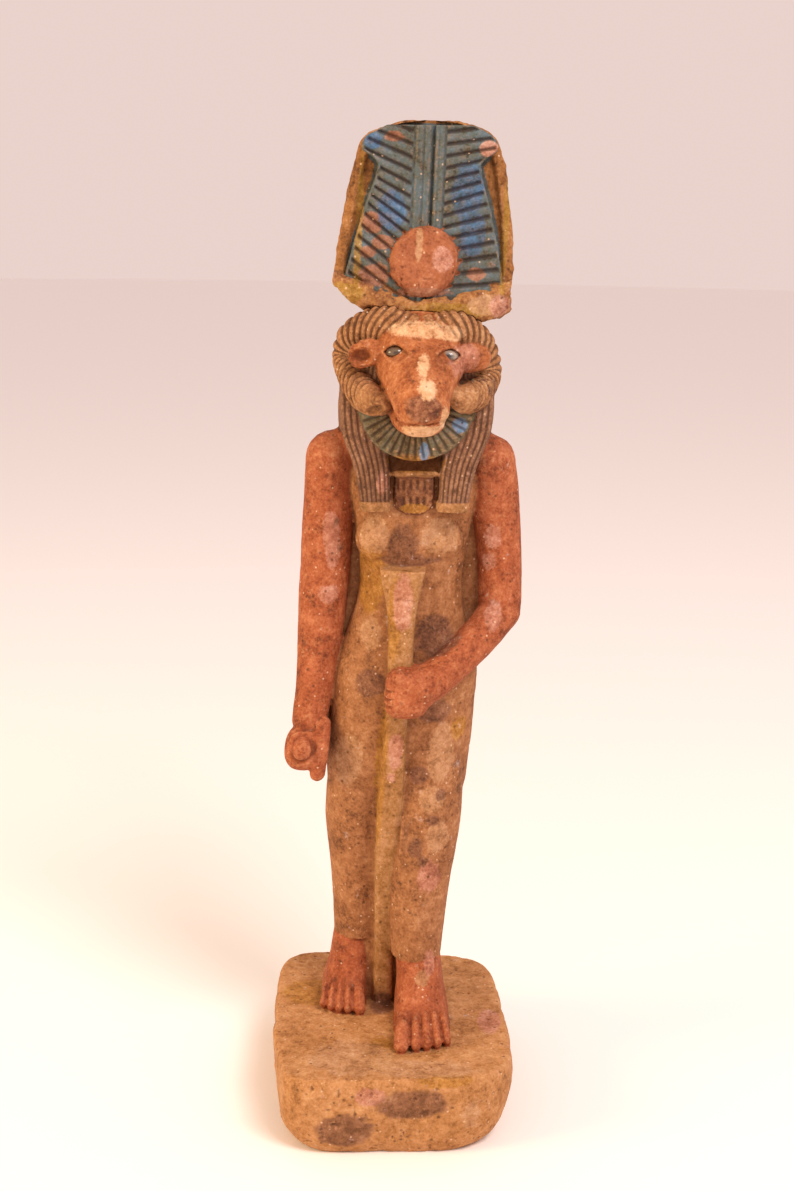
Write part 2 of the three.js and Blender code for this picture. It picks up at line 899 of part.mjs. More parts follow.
const PAINTED_STONE = { color: 0xa8703f, roughness: 0.85 };
const BLUE_PAINT = { color: 0x6b7f86, roughness: 0.8 };
const EYE_STONE = { color: 0x8c8478, roughness: 0.25 };

const carved = [plinth(), ...FEET.map(foot), dress(), arms(), staff(), head(), wig(), collar(), beadPanel()];
const figure = join(carved);

const group = new THREE.Group();
group.add(meshOf(figure, "ram_headed_figure", PAINTED_STONE));
group.add(meshOf(crown(), "feather_crown", BLUE_PAINT));
group.add(meshOf(eyeBall(RIGHT, 0), "right_eye_inlay", EYE_STONE));
group.add(meshOf(eyeBall(LEFT, 0), "left_eye_inlay", EYE_STONE));

export default group;
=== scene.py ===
# Ram-headed striding figure in worn painted stone, with a staff, on a block plinth, under a crown of two feathers.
# Shapes are laid in millimetres in the solids' own frame, drift sideways with their height, and end in metres.
import math

import bmesh
import bpy
import numpy as np
from mathutils import Matrix, Vector
from mathutils.bvhtree import BVHTree


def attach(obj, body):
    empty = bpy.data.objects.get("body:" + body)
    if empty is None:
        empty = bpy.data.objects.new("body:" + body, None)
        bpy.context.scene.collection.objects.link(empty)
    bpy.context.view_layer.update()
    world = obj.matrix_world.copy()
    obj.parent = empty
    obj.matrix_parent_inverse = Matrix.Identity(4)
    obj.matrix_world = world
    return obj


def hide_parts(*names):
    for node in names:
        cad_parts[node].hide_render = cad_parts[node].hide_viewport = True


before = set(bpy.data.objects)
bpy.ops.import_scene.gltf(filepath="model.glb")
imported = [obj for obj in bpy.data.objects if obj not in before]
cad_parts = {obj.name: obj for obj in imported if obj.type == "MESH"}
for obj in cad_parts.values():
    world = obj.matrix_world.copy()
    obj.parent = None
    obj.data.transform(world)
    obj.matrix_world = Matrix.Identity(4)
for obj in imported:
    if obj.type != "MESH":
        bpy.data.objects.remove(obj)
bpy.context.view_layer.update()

MM = 0.001
RIGHT = -1
LEFT = 1

PLINTH_TOP = 26.0
HEM = 49.0
LAPPET_END = 200.0
CROWN_TOP = 318.0

# How far the figure drifts towards its left as it rises: height, drift
DRIFT = [
    [60, 0],
    [103, 0.5],
    [146, 3.4],
    [177, 4.5],
    [207, 4.9],
    [248, 5.6],
    [290, 7.4],
    [CROWN_TOP, 8.2],
]


# Camera, at the height and slant that the photograph was taken from

def place_camera():
    pitch = math.radians(12.67)
    roll = math.radians(0.9)
    forward = Vector((0, math.cos(pitch), -math.sin(pitch)))
    level = Vector((1, 0, 0))
    above = level.cross(forward)
    right = level * math.cos(roll) + above * math.sin(roll)
    up = right.cross(forward)
    camera = bpy.data.objects.new("camera", bpy.data.cameras.new("camera"))
    camera.matrix_world = Matrix(
        (
            (right.x, up.x, -forward.x, 0.0),
            (right.y, up.y, -forward.y, -0.5496),
            (right.z, up.z, -forward.z, 0.294),
            (0, 0, 0, 1),
        )
    )
    camera.data.sensor_fit = "VERTICAL"
    camera.data.sensor_height = 36.0
    camera.data.lens = 53.1
    camera.data.clip_start = 0.01
    bpy.context.scene.collection.objects.link(camera)
    bpy.context.scene.camera = camera


# Tables and small sums

def along(rows, position):
    """Each column of a table at the given positions, smooth between its rows and level beyond its ends."""
    table = np.asarray(rows, float)
    keys, values = table[:, 0], table[:, 1:]
    steps = np.diff(values, axis=0) / np.diff(keys)[:, None]
    slopes = np.empty_like(values)
    slopes[0], slopes[-1] = steps[0], steps[-1]
    slopes[1:-1] = (values[2:] - values[:-2]) / (keys[2:] - keys[:-2])[:, None]
    at = np.clip(np.atleast_1d(np.asarray(position, float)), keys[0], keys[-1])
    low = np.clip(np.searchsorted(keys, at, side="right") - 1, 0, len(keys) - 2)
    span = (keys[low + 1] - keys[low])[:, None]
    t = (at[:, None] - keys[low][:, None]) / span
    return (
        (2 * t**3 - 3 * t**2 + 1) * values[low]
        + (t**3 - 2 * t**2 + t) * span * slopes[low]
        + (3 * t**2 - 2 * t**3) * values[low + 1]
        + (t**3 - t**2) * span * slopes[low + 1]
    )


def powered(value, exponent):
    """A power that keeps the sign."""
    return np.sign(value) * np.abs(value) ** exponent


def eased(value, low, high):
    """0 below low, 1 above high, smooth between."""
    t = np.clip((value - low) / (high - low), 0, 1)
    return t * t * (3 - 2 * t)


def bump_at(value, centre, width):
    """A soft bump of height 1."""
    return np.exp(-(((value - centre) / width) ** 2))


def lattice(cells, seed):
    """A fixed number from 0 to 1 for each whole-numbered cell."""
    mixed = cells.astype(np.int64).astype(np.uint64)
    value = mixed[:, 0] * np.uint64(73856093)
    value ^= mixed[:, 1] * np.uint64(19349663)
    value ^= mixed[:, 2] * np.uint64(83492791)
    value ^= np.uint64(seed * 40503 + 977)
    value = (value ^ (value >> np.uint64(17))) * np.uint64(0x9E3779B97F4A7C15)
    value = (value ^ (value >> np.uint64(29))) * np.uint64(0xBF58476D1CE4E5B9)
    value ^= value >> np.uint64(32)
    return (value & np.uint64(0xFFFFFF)).astype(float) / 0xFFFFFF


def rough(points, size, seed):
    """Smooth unevenness from -1 to 1, with lumps of about the given size."""
    scaled = points / size + seed * 7.31
    base = np.floor(scaled)
    part = scaled - base
    part = part * part * (3 - 2 * part)
    total = np.zeros(len(points))
    for corner in range(8):
        offset = np.array([corner & 1, corner >> 1 & 1, corner >> 2 & 1])
        share = np.prod(np.where(offset, part, 1 - part), axis=1)
        total += share * lattice(base + offset, seed)
    return total * 2 - 1


# Closed forms, each made in a bmesh of its own

def lay_ring(bm, points):
    verts = bmesh.ops.create_circle(bm, segments=len(points), radius=1.0)["verts"]
    for vert, point in zip(verts, points):
        vert.co = point
    return list({edge for vert in verts for edge in vert.link_edges})


def loft(rings):
    """A closed skin over rings of points, one after the other."""
    bm = bmesh.new()
    loops = [lay_ring(bm, ring) for ring in rings]
    for low, high in zip(loops, loops[1:]):
        bmesh.ops.bridge_loops(bm, edges=low + high)
    for loop in (loops[0], loops[-1]):
        bmesh.ops.edgeloop_fill(bm, edges=loop)
    bmesh.ops.recalc_face_normals(bm, faces=bm.faces)
    return bm


def round_section(sides, squareness):
    """The across and along shares of a ring: 2 gives an ellipse, more gives squarer corners."""
    angles = np.linspace(0, 2 * math.pi, sides, endpoint=False) + math.pi / sides
    exponent = 2 / squareness
    return powered(np.cos(angles), exponent), powered(np.sin(angles), exponent)


def pillar(rows, squareness=2.0, sides=48, spacing=2.0):
    """An upright form from rows of height, centre x, centre y, half width, half depth."""
    low, high = rows[0][0], rows[-1][0]
    heights = np.linspace(low, high, max(3, round((high - low) / spacing)))
    u, v = round_section(sides, squareness)
    rings = []
    for z, (cx, cy, a, b) in zip(heights, along(rows, heights)):
        rings.append(np.column_stack((cx + a * u, cy + b * v, np.full(sides, z))))
    return loft(rings)


def path_of(stations, count):
    """Points, radii and shares along stations of x, y, z, radius, radius along the reference."""
    last = len(stations) - 1
    rows = [[i / last, *s[:3], s[3], s[4] if len(s) > 4 else s[3]] for i, s in enumerate(stations)]
    shares = np.linspace(0, 1, count)
    table = along(rows, shares)
    return table[:, :3], table[:, 3:], shares


def limb(stations, squareness=2.0, reference=(0, 0, 1), sides=32, spacing=1.5):
    """A form with round ends along stations."""
    last = len(stations) - 1
    length = sum(math.dist(stations[i][:3], stations[i + 1][:3]) for i in range(last))
    centres, radii, _ = path_of(stations, max(4, round(length / spacing)))
    tangents = np.gradient(centres, axis=0)
    tangents /= np.linalg.norm(tangents, axis=1)[:, None]
    across = np.cross(tangents, np.array(reference, float))
    across /= np.linalg.norm(across, axis=1)[:, None]
    up = np.cross(across, tangents)
    u, v = round_section(sides, squareness)
    cap = np.radians([84, 68, 50, 30, 14])

    def ring(i, turn, way):
        reach = math.sin(turn) * min(radii[i]) * way
        middle = centres[i] + tangents[i] * reach
        shrink = math.cos(turn)
        return (
            middle
            + np.outer(u * radii[i][0] * shrink, across[i])
            + np.outer(v * radii[i][1] * shrink, up[i])
        )

    rings = [ring(0, turn, -1) for turn in cap]
    rings += [ring(i, 0, 1) for i in range(len(centres))]
    rings += [ring(len(centres) - 1, turn, 1) for turn in cap[::-1]]
    return loft(rings)


def ball(centre, half, squareness=2.0, sides=40, levels=24):
    """An ellipsoid, squarer with more squareness."""
    bm = bmesh.new()
    bmesh.ops.create_uvsphere(bm, u_segments=sides, v_segments=levels, radius=1.0)
    for vert in bm.verts:
        shares = powered(np.array(vert.co), 2 / squareness)
        vert.co = [middle + reach * share for middle, reach, share in zip(centre, half, shares)]
    return bm


def beam(rows, sides=24, squareness=6.0):
    """A bar laid across, from rows of x, lowest z, highest z, front y, back y."""
    reach = np.linspace(rows[0][0], rows[-1][0], 60)
    u, v = round_section(sides, squareness)
    rings = []
    for x, (low, high, front, back) in zip(reach, along(rows, reach)):
        rings.append(
            np.column_stack(
                (
                    np.full(sides, x),
                    (front + back) / 2 + (back - front) / 2 * u,
                    (low + high) / 2 + (high - low) / 2 * v,
                )
            )
        )
    return loft(rings)


def turned(profile, centre, steps=64):
    """A form turned about a line along y, from a profile of y, radius."""
    bm = bmesh.new()
    verts = [bm.verts.new((radius, y, 0)) for y, radius in profile]
    edges = [bm.edges.new(pair) for pair in zip(verts, verts[1:])]
    bmesh.ops.spin(
        bm,
        geom=verts + edges,
        cent=(0, 0, 0),
        axis=(0, 1, 0),
        angle=2 * math.pi,
        steps=steps,
        use_merge=True,
    )
    bmesh.ops.remove_doubles(bm, verts=bm.verts, dist=1e-4)
    bmesh.ops.recalc_face_normals(bm, faces=bm.faces)
    bmesh.ops.translate(bm, vec=centre, verts=bm.verts)
    return bm


# Plinth

PLINTH_CORNERS = {
    "front_right": (-37.6, -51.5),
    "front_left": (41.2, -46),
    "back_right": (-41, 50),
    "back_left": (36, 47),
}

# Height, how far the sides draw in, how far the front and back draw in
PLINTH_INSET = [
    [0, 8.6, 3.4],
    [3, 5, 1.4],
    [8, 2, 0.4],
    [17, 0, 0],
    [24.6, 0.2, 0.2],
    [PLINTH_TOP, 1.2, 1.0],
]

# The side towards the figure's right is dressed at a slant, from a crisp front edge
PLINTH_EDGE = (-32.6, -50.6)
PLINTH_SLANT = (-40.4, -4.0)


def plinth():
    angles = np.linspace(0, 2 * math.pi, 96, endpoint=False) + math.pi / 96
    front_left = np.maximum(0, np.cos(angles)) * np.maximum(0, -np.sin(angles))
    exponent = 0.34 + 0.16 * front_left
    corner = {name: np.array(place) for name, place in PLINTH_CORNERS.items()}
    heights = np.linspace(0, PLINTH_TOP, 22)
    rings = []
    for z, (side, end) in zip(heights, along(PLINTH_INSET, heights)):
        u = (powered(np.cos(angles), exponent) * (1 - side / 40) + 1) / 2
        v = (powered(np.sin(angles), exponent) * (1 - end / 49) + 1) / 2
        front = np.outer(1 - u, corner["front_right"]) + np.outer(u, corner["front_left"])
        back = np.outer(1 - u, corner["back_right"]) + np.outer(u, corner["back_left"])
        flat = front * (1 - v)[:, None] + back * v[:, None]
        slant = np.subtract(PLINTH_SLANT, PLINTH_EDGE)
        outward = np.array([-slant[1], slant[0]]) / np.linalg.norm(slant)
        beyond = np.maximum(0, (flat - np.array(PLINTH_EDGE) - (0.12 * side, 0)) @ outward)
        flat = flat - beyond[:, None] * outward
        rings.append(np.column_stack((flat, np.full(len(u), z))))
    return loft(rings)


# Feet: the left foot is a step ahead of the right one, and each instep slopes down from the hem to the toes

FEET = [
    {
        "side": RIGHT,
        "width": 16.2,
        "instep": [
            # height, middle x, front y, back y, half width
            [PLINTH_TOP - 1, -16.1, -3, 30, 7.8],
            [28.5, -16.1, -0.6, 30, 7.8],
            [33, -15.7, 2.8, 29, 7.5],
            [39, -14.4, 5.4, 27.6, 7.1],
            [HEM + 0.5, -13.1, 8.2, 25.4, 6.8],
        ],
        "root": (-15.9, 4, 32.2),
        "tip": (-16.1, -2.8, 28.3),
        "reach": [0, -0.5, -0.2, 1, 3],
    },
    {
        "side": LEFT,
        "width": 19.4,
        "instep": [
            [PLINTH_TOP - 1, 10.3, -28, 15, 9.2],
            [28, 10.3, -25, 15, 9.2],
            [31.5, 10.1, -18.6, 15, 8.8],
            [37, 9.7, -12.2, 15, 7.9],
            [HEM - 1, 8.8, -7.4, 14, 7.5],
        ],
        "root": (10, -16.6, 31.4),
        "tip": (10.4, -29.4, 28.4),
        "reach": [0, 0.3, 1.1, 2.4, 4.2],
    },
]
TOES = [0.3, 0.19, 0.18, 0.17, 0.16]


def foot(side, width, instep, root, tip, reach):
    rows = [[z, x, (front + back) / 2, half, (back - front) / 2] for z, x, front, back, half in instep]
    forms = [pillar(rows, squareness=2.6, spacing=1.0)]
    edge = -0.5
    for share, ahead in zip(TOES, reach):
        across = side * (edge + share / 2) * width
        half = share * width / 2
        edge += share
        back = [root[0] + across * 0.84, root[1] + ahead * 0.3, root[2]]
        front = [tip[0] + across, tip[1] + ahead, tip[2]]
        knuckle = [(a + b) / 2 for a, b in zip(back, front)]
        knuckle[2] += 0.5
        forms.append(
            limb(
                [[*back, half * 0.76, 3.0], [*knuckle, half * 0.82, 2.7], [*front, half * 0.86, 2.3]],
                sides=20,
                spacing=0.7,
            )
        )
    return forms


# Sheath dress: the trunk from neck to hips, and a leg each below

TRUNK = [
    [PLINTH_TOP - 1, -2, 14, 9, 5.4],
    [58, -1, 12, 12, 6],
    [80, -0.6, 12, 16, 8.5],
    [103, 0, 12.5, 22.6, 12],
    [118, 0, 12.5, 23.8, 15],
    [132, 0, 12.5, 23.6, 16.6],
    [146, 0, 12, 23.2, 15.8],
    [160, 0, 11.2, 19, 13.6],
    [173, 0, 10.8, 16.6, 12.4],
    [184, 0, 10.6, 17.4, 13.4],
    [196, 0, 11, 19.4, 14.4],
    [208, 0, 12, 22, 13.4],
    [216, 0, 12.5, 20, 10.5],
    [224, 0, 12.5, 12, 8.5],
]
RIGHT_LEG = [
    [HEM, -10.7, 16.5, 9.2, 9.6],
    [70, -11, 16, 10, 10.6],
    [95, -11.8, 14.5, 11.6, 12.6],
    [128, -9.6, 13, 11.4, 13],
]
LEFT_LEG = [
    [HEM - 2, 8.2, 3, 8.4, 10.6],
    [70, 8.6, 4, 10.2, 11.6],
    [95, 10, 7, 12.2, 13.4],
    [128, 9.6, 11.6, 11.6, 14],
]
BUST = {side: [side * 9.4 - 1, 3.2, 188.8] for side in (RIGHT, LEFT)}
BUST_HALF = [7.8, 6, 8.4]

# Arms, hands, and the stone left between the arms and the trunk

RIGHT_ARM = [
    [-26.4, 12.5, 213, 8.8],
    [-27.2, 12.5, 200, 8.3],
    [-28, 12, 182, 8.2],
    [-28.8, 10.5, 158, 7.5],
    [-29.5, 8.5, 140, 6.2],
    [-30.2, 6.5, 127, 5.8],
]
LEFT_UPPER_ARM = [
    [24, 12.5, 212, 8.8],
    [26.6, 12.5, 198, 7.9],
    [28.6, 12, 182, 7.2],
    [29.4, 9.5, 165, 7],
]
LEFT_FOREARM = [
    [29.4, 8.5, 163.8, 6.9],
    [21.7, 1.5, 155.4, 6.3],
    [11.7, -6, 146.8, 6.2],
    [4, -9.5, 142.2, 7],
]
SHOULDERS = [
    [-27, 13, 213.4, 7.4, 8],
    [-14, 13, 217, 8, 8],
    [0, 13, 218, 8, 8],
    [14, 13, 217, 8, 8],
    [25, 13, 212.6, 7.4, 8],
]
RIGHT_FIST = [-31.2, 3.8, 118]
LEFT_FIST = [0.8, -8.8, 141.2]
RIGHT_THUMB = [[-26, 3, 126, 3], [-25.7, -1.4, 118.5, 2.8], [-26, -0.6, 110.4, 2.6]]
LEFT_THUMB = [[7, -10.6, 146, 3.8], [-2.2, -13, 146, 3.5]]
ROLL = [[-31.6, 0, 119.8, 3.6], [-31.6, -4.6, 119.8, 3.5]]
RIGHT_WEB = [
    [122, -24, 15, 7, 4],
    [150, -22, 17, 9, 4.4],
    [185, -20, 17.5, 8, 4.8],
    [210, -20, 15, 8, 7],
]
LEFT_WEB = [
    [151, 17, 15.5, 7, 5],
    [163, 21.4, 17, 9, 4.6],
    [185, 21, 17.5, 9, 4.8],
    [210, 21, 15, 8, 7],
]

# Papyrus staff with its flared head: height, centre x, y of the front, half width

STAFF = [
    [PLINTH_TOP - 2, -2.7, 6.2, 3.4],
    [45, -2.6, 3.4, 3.2],
    [60, -2.4, 0.8, 3.5],
    [75, -2.1, -1.6, 3.9],
    [104, -1.6, -5.6, 4.1],
    [130, -1.9, -9.4, 3.5],
    [150, -2.2, -10.8, 3.9],
    [160, -2.5, -11, 4.1],
    [168, -2.6, -11, 4.9],
    [175, -2.8, -11, 6.2],
    [180.5, -2.9, -10.8, 7.4],
]
STAFF_DEPTH = 11.0

# A thin lip of stone along the staff's left edge
STAFF_LIP = [[3.0, -6.4, 98, 0.6], [2.6, -4.4, 84, 1.0], [2.2, -2.6, 68, 1.1], [1.9, -1.4, 52, 1.0]]


def staff():
    rows = [[z, cx, front + STAFF_DEPTH / 2, half, STAFF_DEPTH / 2] for z, cx, front, half in STAFF]
    bm = pillar(rows, squareness=5.0, sides=40, spacing=1.5)
    for vert in bm.verts:
        if vert.co.z > STAFF[-1][0] - 0.1:
            vert.co.z -= 0.05 * (vert.co.x + 2.4)
    return bm


# Ram's head

# The head is carved a little askew, so the left eye is further out and lower than the right one
EYES = {RIGHT: [-6.9, -10.8, 248.8], LEFT: [8.8, -10.4, 248.0]}
EYE_HALF = [3.3, 2.4, 2.0]
MUZZLE = [
    [0.3, 1, 246, 13.8, 10.6],
    [0.5, -6.5, 244, 13.5, 10.6],
    [0.5, -13, 240.8, 11.4, 9.6],
    [0.8, -18.8, 236.8, 9.4, 8.2],
    [1.5, -23.4, 233, 8.4, 6.6],
]
JAW = [
    [0, -2, 234, 9.6, 6],
    [0.3, -12, 229.6, 8.6, 5],
    [1.1, -19, 227.8, 7.4, 3.9],
    [1.6, -22.4, 227.7, 5.8, 3.2],
]
NOSE = [1.7, -24.4, 234]
NOSE_HALF = [6.8, 5, 5.4]
RIGHT_EAR = [
    [-10.5, -6.4, 248.4, 3.2, 2.6],
    [-15, -7, 248.2, 4.1, 2.4],
    [-18.4, -7, 247.8, 4.5, 2.2],
    [-20.2, -6.8, 248.2, 3, 1.7],
]
LEFT_EAR = [[11, -6, 248, 3.6, 3], [15.4, -5, 247.2, 4.8, 3.4], [19.6, -3.4, 246.8, 3.7, 2.8]]
HORNS = {
    RIGHT: [
        [-2.5, -6.5, 256, 4.4],
        [-9, -4.6, 257.2, 5.2],
        [-15, -0.8, 255.6, 6],
        [-20, 3, 251.4, 6.2],
        [-21.6, 4.4, 246, 5.6],
        [-20.8, 2, 241.4, 4.9],
        [-17.8, -3.6, 236.6, 5],
        [-13.8, -9, 233.8, 4.8],
        [-11, -12.4, 233, 3.6],
    ],
    LEFT: [
        [2.5, -6.5, 256, 4.4],
        [9.2, -4.6, 256.4, 5.2],
        [14.8, -0.8, 253.6, 5.8],
        [18.8, 3, 248.4, 6],
        [20.6, 4.4, 241.8, 5.8],
        [19.8, 1.4, 237, 5],
        [17, -4.6, 234.8, 4.8],
        [14, -10, 234.9, 4.5],
        [11.8, -12.6, 235.6, 3.2],
    ],
}
SKULL = ([0, -0.4, 250], [13.8, 12.4, 11])

# Wig, lappets, collar and bead panel

WIG_FALL = [
    [203, 0, 20, 18, 8],
    [212, 0, 17.5, 22, 11.5],
    [222, 0, 13.5, 24.6, 14.5],
    [236, -0.4, 9.5, 24.2, 15],
    [248, -0.4, 9.5, 21, 14.5],
    [255, 0, 9.5, 15.6, 12],
    [258.6, 0, 9.5, 9, 7.5],
]
LAPPET = [
    [LAPPET_END, 12.2, -2.6, 4.6, 5.4],
    [212, 13.6, -1.6, 5.6, 5.8],
    [224, 16.8, 0, 6.8, 6.4],
    [240, 18, 4, 6.4, 7],
]
LAPPET_BAND = [[LAPPET_END - 1, 12.1, -2.6, 5.1, 6], [LAPPET_END + 1.8, 12.2, -2.6, 5.2, 6.1]]
COLLAR = {"z": 233.6, "inner": 9.5, "outer": 18.6, "half": 1.95, "front": -8.4}
PANEL = {"half": 6.2, "top": 209.6, "bottom": 197.6, "front": -4.6}
PANEL_LEDGE = [[-6.6, -4.3, 210.6, 1.0, 0.9], [0, -5.2, 210.8, 1.0, 0.9], [6.6, -4.3, 210.6, 1.0, 0.9]]
PANEL_ROWS = [
    # lowest z, highest z, strokes
    [205.4, 208.6, 5],
    [200.6, 203.2, 4],
]


def mirrored(rows, side):
    return [[z, side * x, *rest] for z, x, *rest in rows]


def collar():
    """A curved band round the throat, from its right end to its left."""
    angles = np.linspace(-COLLAR["half"], COLLAR["half"], 70)
    reach = (COLLAR["inner"] + COLLAR["outer"]) / 2
    half = (COLLAR["outer"] - COLLAR["inner"]) / 2
    u, v = round_section(24, 5.0)
    rings = []
    for angle in angles:
        radius = reach + half * u
        x = radius * math.sin(angle)
        z = COLLAR["z"] - radius * math.cos(angle)
        lean = 0.1 * (z - 226) + 0.004 * x * x
        y = (COLLAR["front"] + 2) / 2 + (2 - COLLAR["front"]) / 2 * v + lean
        rings.append(np.column_stack((x, y, z)))
    return loft(rings)


def panel():
    half, top, bottom = PANEL["half"], PANEL["top"], PANEL["bottom"]
    middle, depth = (PANEL["front"] + 6) / 2, (6 - PANEL["front"]) / 2
    rows = [
        [bottom, 0, middle, half * 0.35, depth],
        [bottom + 1.2, 0, middle, half * 0.78, depth],
        [bottom + 3.6, 0, middle, half, depth],
        [top, 0, middle, half, depth],
    ]
    return pillar(rows, squareness=7, spacing=1.0)


# Every form of the figure, with the name of the part it belongs to

def figure_forms():
    forms = [("plinth", plinth())]
    for shape in FEET:
        forms += [("foot", form) for form in foot(**shape)]
    forms += [
        ("dress", pillar(TRUNK, squareness=2.2)),
        ("dress", pillar(RIGHT_LEG)),
        ("dress", pillar(LEFT_LEG)),
    ]
    forms += [("dress", ball(middle, BUST_HALF)) for middle in BUST.values()]
    forms += [
        ("arm", limb(RIGHT_ARM, reference=(0, 1, 0))),
        ("arm", limb(LEFT_UPPER_ARM, reference=(0, 1, 0))),
        ("arm", limb(LEFT_FOREARM)),
        ("arm", limb(SHOULDERS)),
        ("hand", ball(RIGHT_FIST, [6.4, 8.2, 7.4], 2.5)),
        ("hand", limb(RIGHT_THUMB, reference=(1, 0, 0), spacing=1)),
        ("hand", ball(LEFT_FIST, [7.5, 7.6, 8.5], 3)),
        ("hand", limb(LEFT_THUMB, spacing=1)),
        ("roll", limb(ROLL, spacing=1)),
        ("web", pillar(RIGHT_WEB)),
        ("web", pillar(LEFT_WEB)),
        ("staff", staff()),
        ("face", ball(*SKULL, 2.5)),
        ("face", limb(MUZZLE, spacing=1.0, sides=40)),
        ("face", limb(JAW, spacing=1.0, sides=40)),
        ("face", ball(NOSE, NOSE_HALF)),
        ("right ear", limb(RIGHT_EAR, reference=(0, 1, 0), spacing=0.8)),
        ("left ear", limb(LEFT_EAR, reference=(0, 1, 0), spacing=0.8)),
        ("right horn", limb(HORNS[RIGHT], reference=(0.2, 1, 0.1), spacing=0.8)),
        ("left horn", limb(HORNS[LEFT], reference=(0.2, 1, 0.1), spacing=0.8)),
        ("wig", pillar(WIG_FALL, squareness=2.2, sides=64)),
        ("wig", ball([0, 3.5, 250], [17, 7, 9])),
        ("throat", ball([0, 1, 227], [13, 8, 12])),
        ("collar", collar()),
        ("panel", panel()),
        ("ledge", limb(PANEL_LEDGE, spacing=0.7)),
        ("dress", limb(STAFF_LIP, spacing=1.0)),
    ]
    for side in (RIGHT, LEFT):
        forms.append(("lappet", pillar(mirrored(LAPPET, side), squareness=4)))
        forms.append(("band", pillar(mirrored(LAPPET_BAND, side), squareness=4, spacing=0.8)))
    return forms


FIGURE_PARTS = [
    "plinth", "foot", "dress", "arm", "hand", "roll", "web", "staff", "face", "right ear", "left ear",
    "right horn", "left horn", "wig", "throat", "collar", "panel", "ledge", "lappet", "band",
]

# Crown

SLAB_HALF = [
    [262, 27.6],
    [274, 27.6],
    [297, 24.8],
    [309, 21.9],
    [313.5, 19.4],
    [316.4, 13.6],
    [CROWN_TOP, 5],
]
SLAB = {"front": 2.2, "back": 13.0}
FEATHER = {"low": 262, "high": 316.4, "front": -1.0, "back": 3.4, "middle": 1.1}
FEATHER_INNER = {RIGHT: -4.8, LEFT: 4.6}
SHAFT_GROOVES = [
    # x, depth, width
    [-4.8, 0.8, 0.4],
    [-1.9, 0.5, 0.35],
    [0.9, 1.8, 0.55],
    [2.7, 0.3, 0.3],
    [4.6, 0.8, 0.4],
]
SLAB_RIM = 3.4
SEAT_TOP = 266.0
SEAT_GAP = 0.3
FEATHER_OUTER = [
    [262, 25.4],
    [273, 23.8],
    [290, 19.8],
    [304.5, 15.6],
    [307, 17.4],
    [309.5, 20.6],
    [313, 19.2],
    [316.4, 13.4],
]
BARBS = {
    RIGHT: {"count": 16, "low": 252, "high": 310.6, "rise": [[252, 0.66], [282, 0.74], [297, 0.5], [311, 0.36]]},
    LEFT: {"count": 14, "low": 264.6, "high": 310.8, "rise": [[264, 0.02], [280, 0.2], [294, 0.3], [311, 0.14]]},
}
DISK = {"centre": (0, 0, 275.8), "radius": 10.7}
CROWN_CUT = ((-27.2, 269.6), (-17.6, 263.4))
CROWN_FOOT = [
    # x, lowest z, highest z, front, back
    [-27.2, 268.4, 272.8, -1.6, 11.6],
    [-22.7, 264.3, 270.6, -2.6, 12],
    [-17.6, 261.6, 269.6, -2.6, 12],
    [-10, 260.2, 267.2, -2.6, 12],
    [-2, 259.6, 263.8, -2.6, 12],
    [4, 259.2, 264.8, -2.6, 12],
    [13, 258.6, 267, -2.6, 12],
    [21.3, 258.4, 268.4, -2.6, 12],
    [27.2, 261, 270.8, -1.6, 11.6],
]


def cut_below(bm, start, end):
    """Takes away what lies below the line from start to end, both x and z, and closes the cut."""
    run = Vector((end[0] - start[0], 0, end[1] - start[1]))
    down = Vector((run.z, 0, -run.x)).normalized()
    geometry = list(bm.verts) + list(bm.edges) + list(bm.faces)
    place = (start[0], 0, start[1])
    cut = bmesh.ops.bisect_plane(bm, geom=geometry, plane_co=place, plane_no=down, clear_outer=True)["geom_cut"]
    edges = [item for item in cut if isinstance(item, bmesh.types.BMEdge)]
    bmesh.ops.edgeloop_fill(bm, edges=edges)
    bmesh.ops.recalc_face_normals(bm, faces=bm.faces)
    return bm


def crown_forms():
    middle = (SLAB["front"] + SLAB["back"]) / 2
    depth = (SLAB["back"] - SLAB["front"]) / 2
    slab = pillar([[z, 0, middle, half, depth] for z, half in SLAB_HALF], squareness=9, sides=96, spacing=0.8)
    forms = [("slab", cut_below(slab, *CROWN_CUT))]
    for side in (RIGHT, LEFT):
        rows = []
        for z, outer in FEATHER_OUTER:
            half = (outer - side * FEATHER["middle"]) / 2
            rows.append(
                [
                    z,
                    FEATHER["middle"] + side * half,
                    (FEATHER["front"] + FEATHER["back"]) / 2,
                    half,
                    (FEATHER["back"] - FEATHER["front"]) / 2,
                ]
            )
        name = "right feather" if side == RIGHT else "left feather"
        forms.append((name, cut_below(pillar(rows, squareness=7, sides=64, spacing=0.7), *CROWN_CUT)))
    radius = DISK["radius"]
    profile = [(-3.8, 0), (-3.7, radius * 0.6), (-3.2, radius * 0.86), (-2.2, radius * 0.97), (0, radius)]
    profile += [(3, radius), (3, 0)]
    forms.append(("disk", turned(profile, DISK["centre"])))
    forms.append(("crown foot", beam(CROWN_FOOT, sides=40, squareness=4)))
    return forms


CROWN_PARTS = ["slab", "right feather", "left feather", "disk", "crown foot"]


# From forms to one closed stone

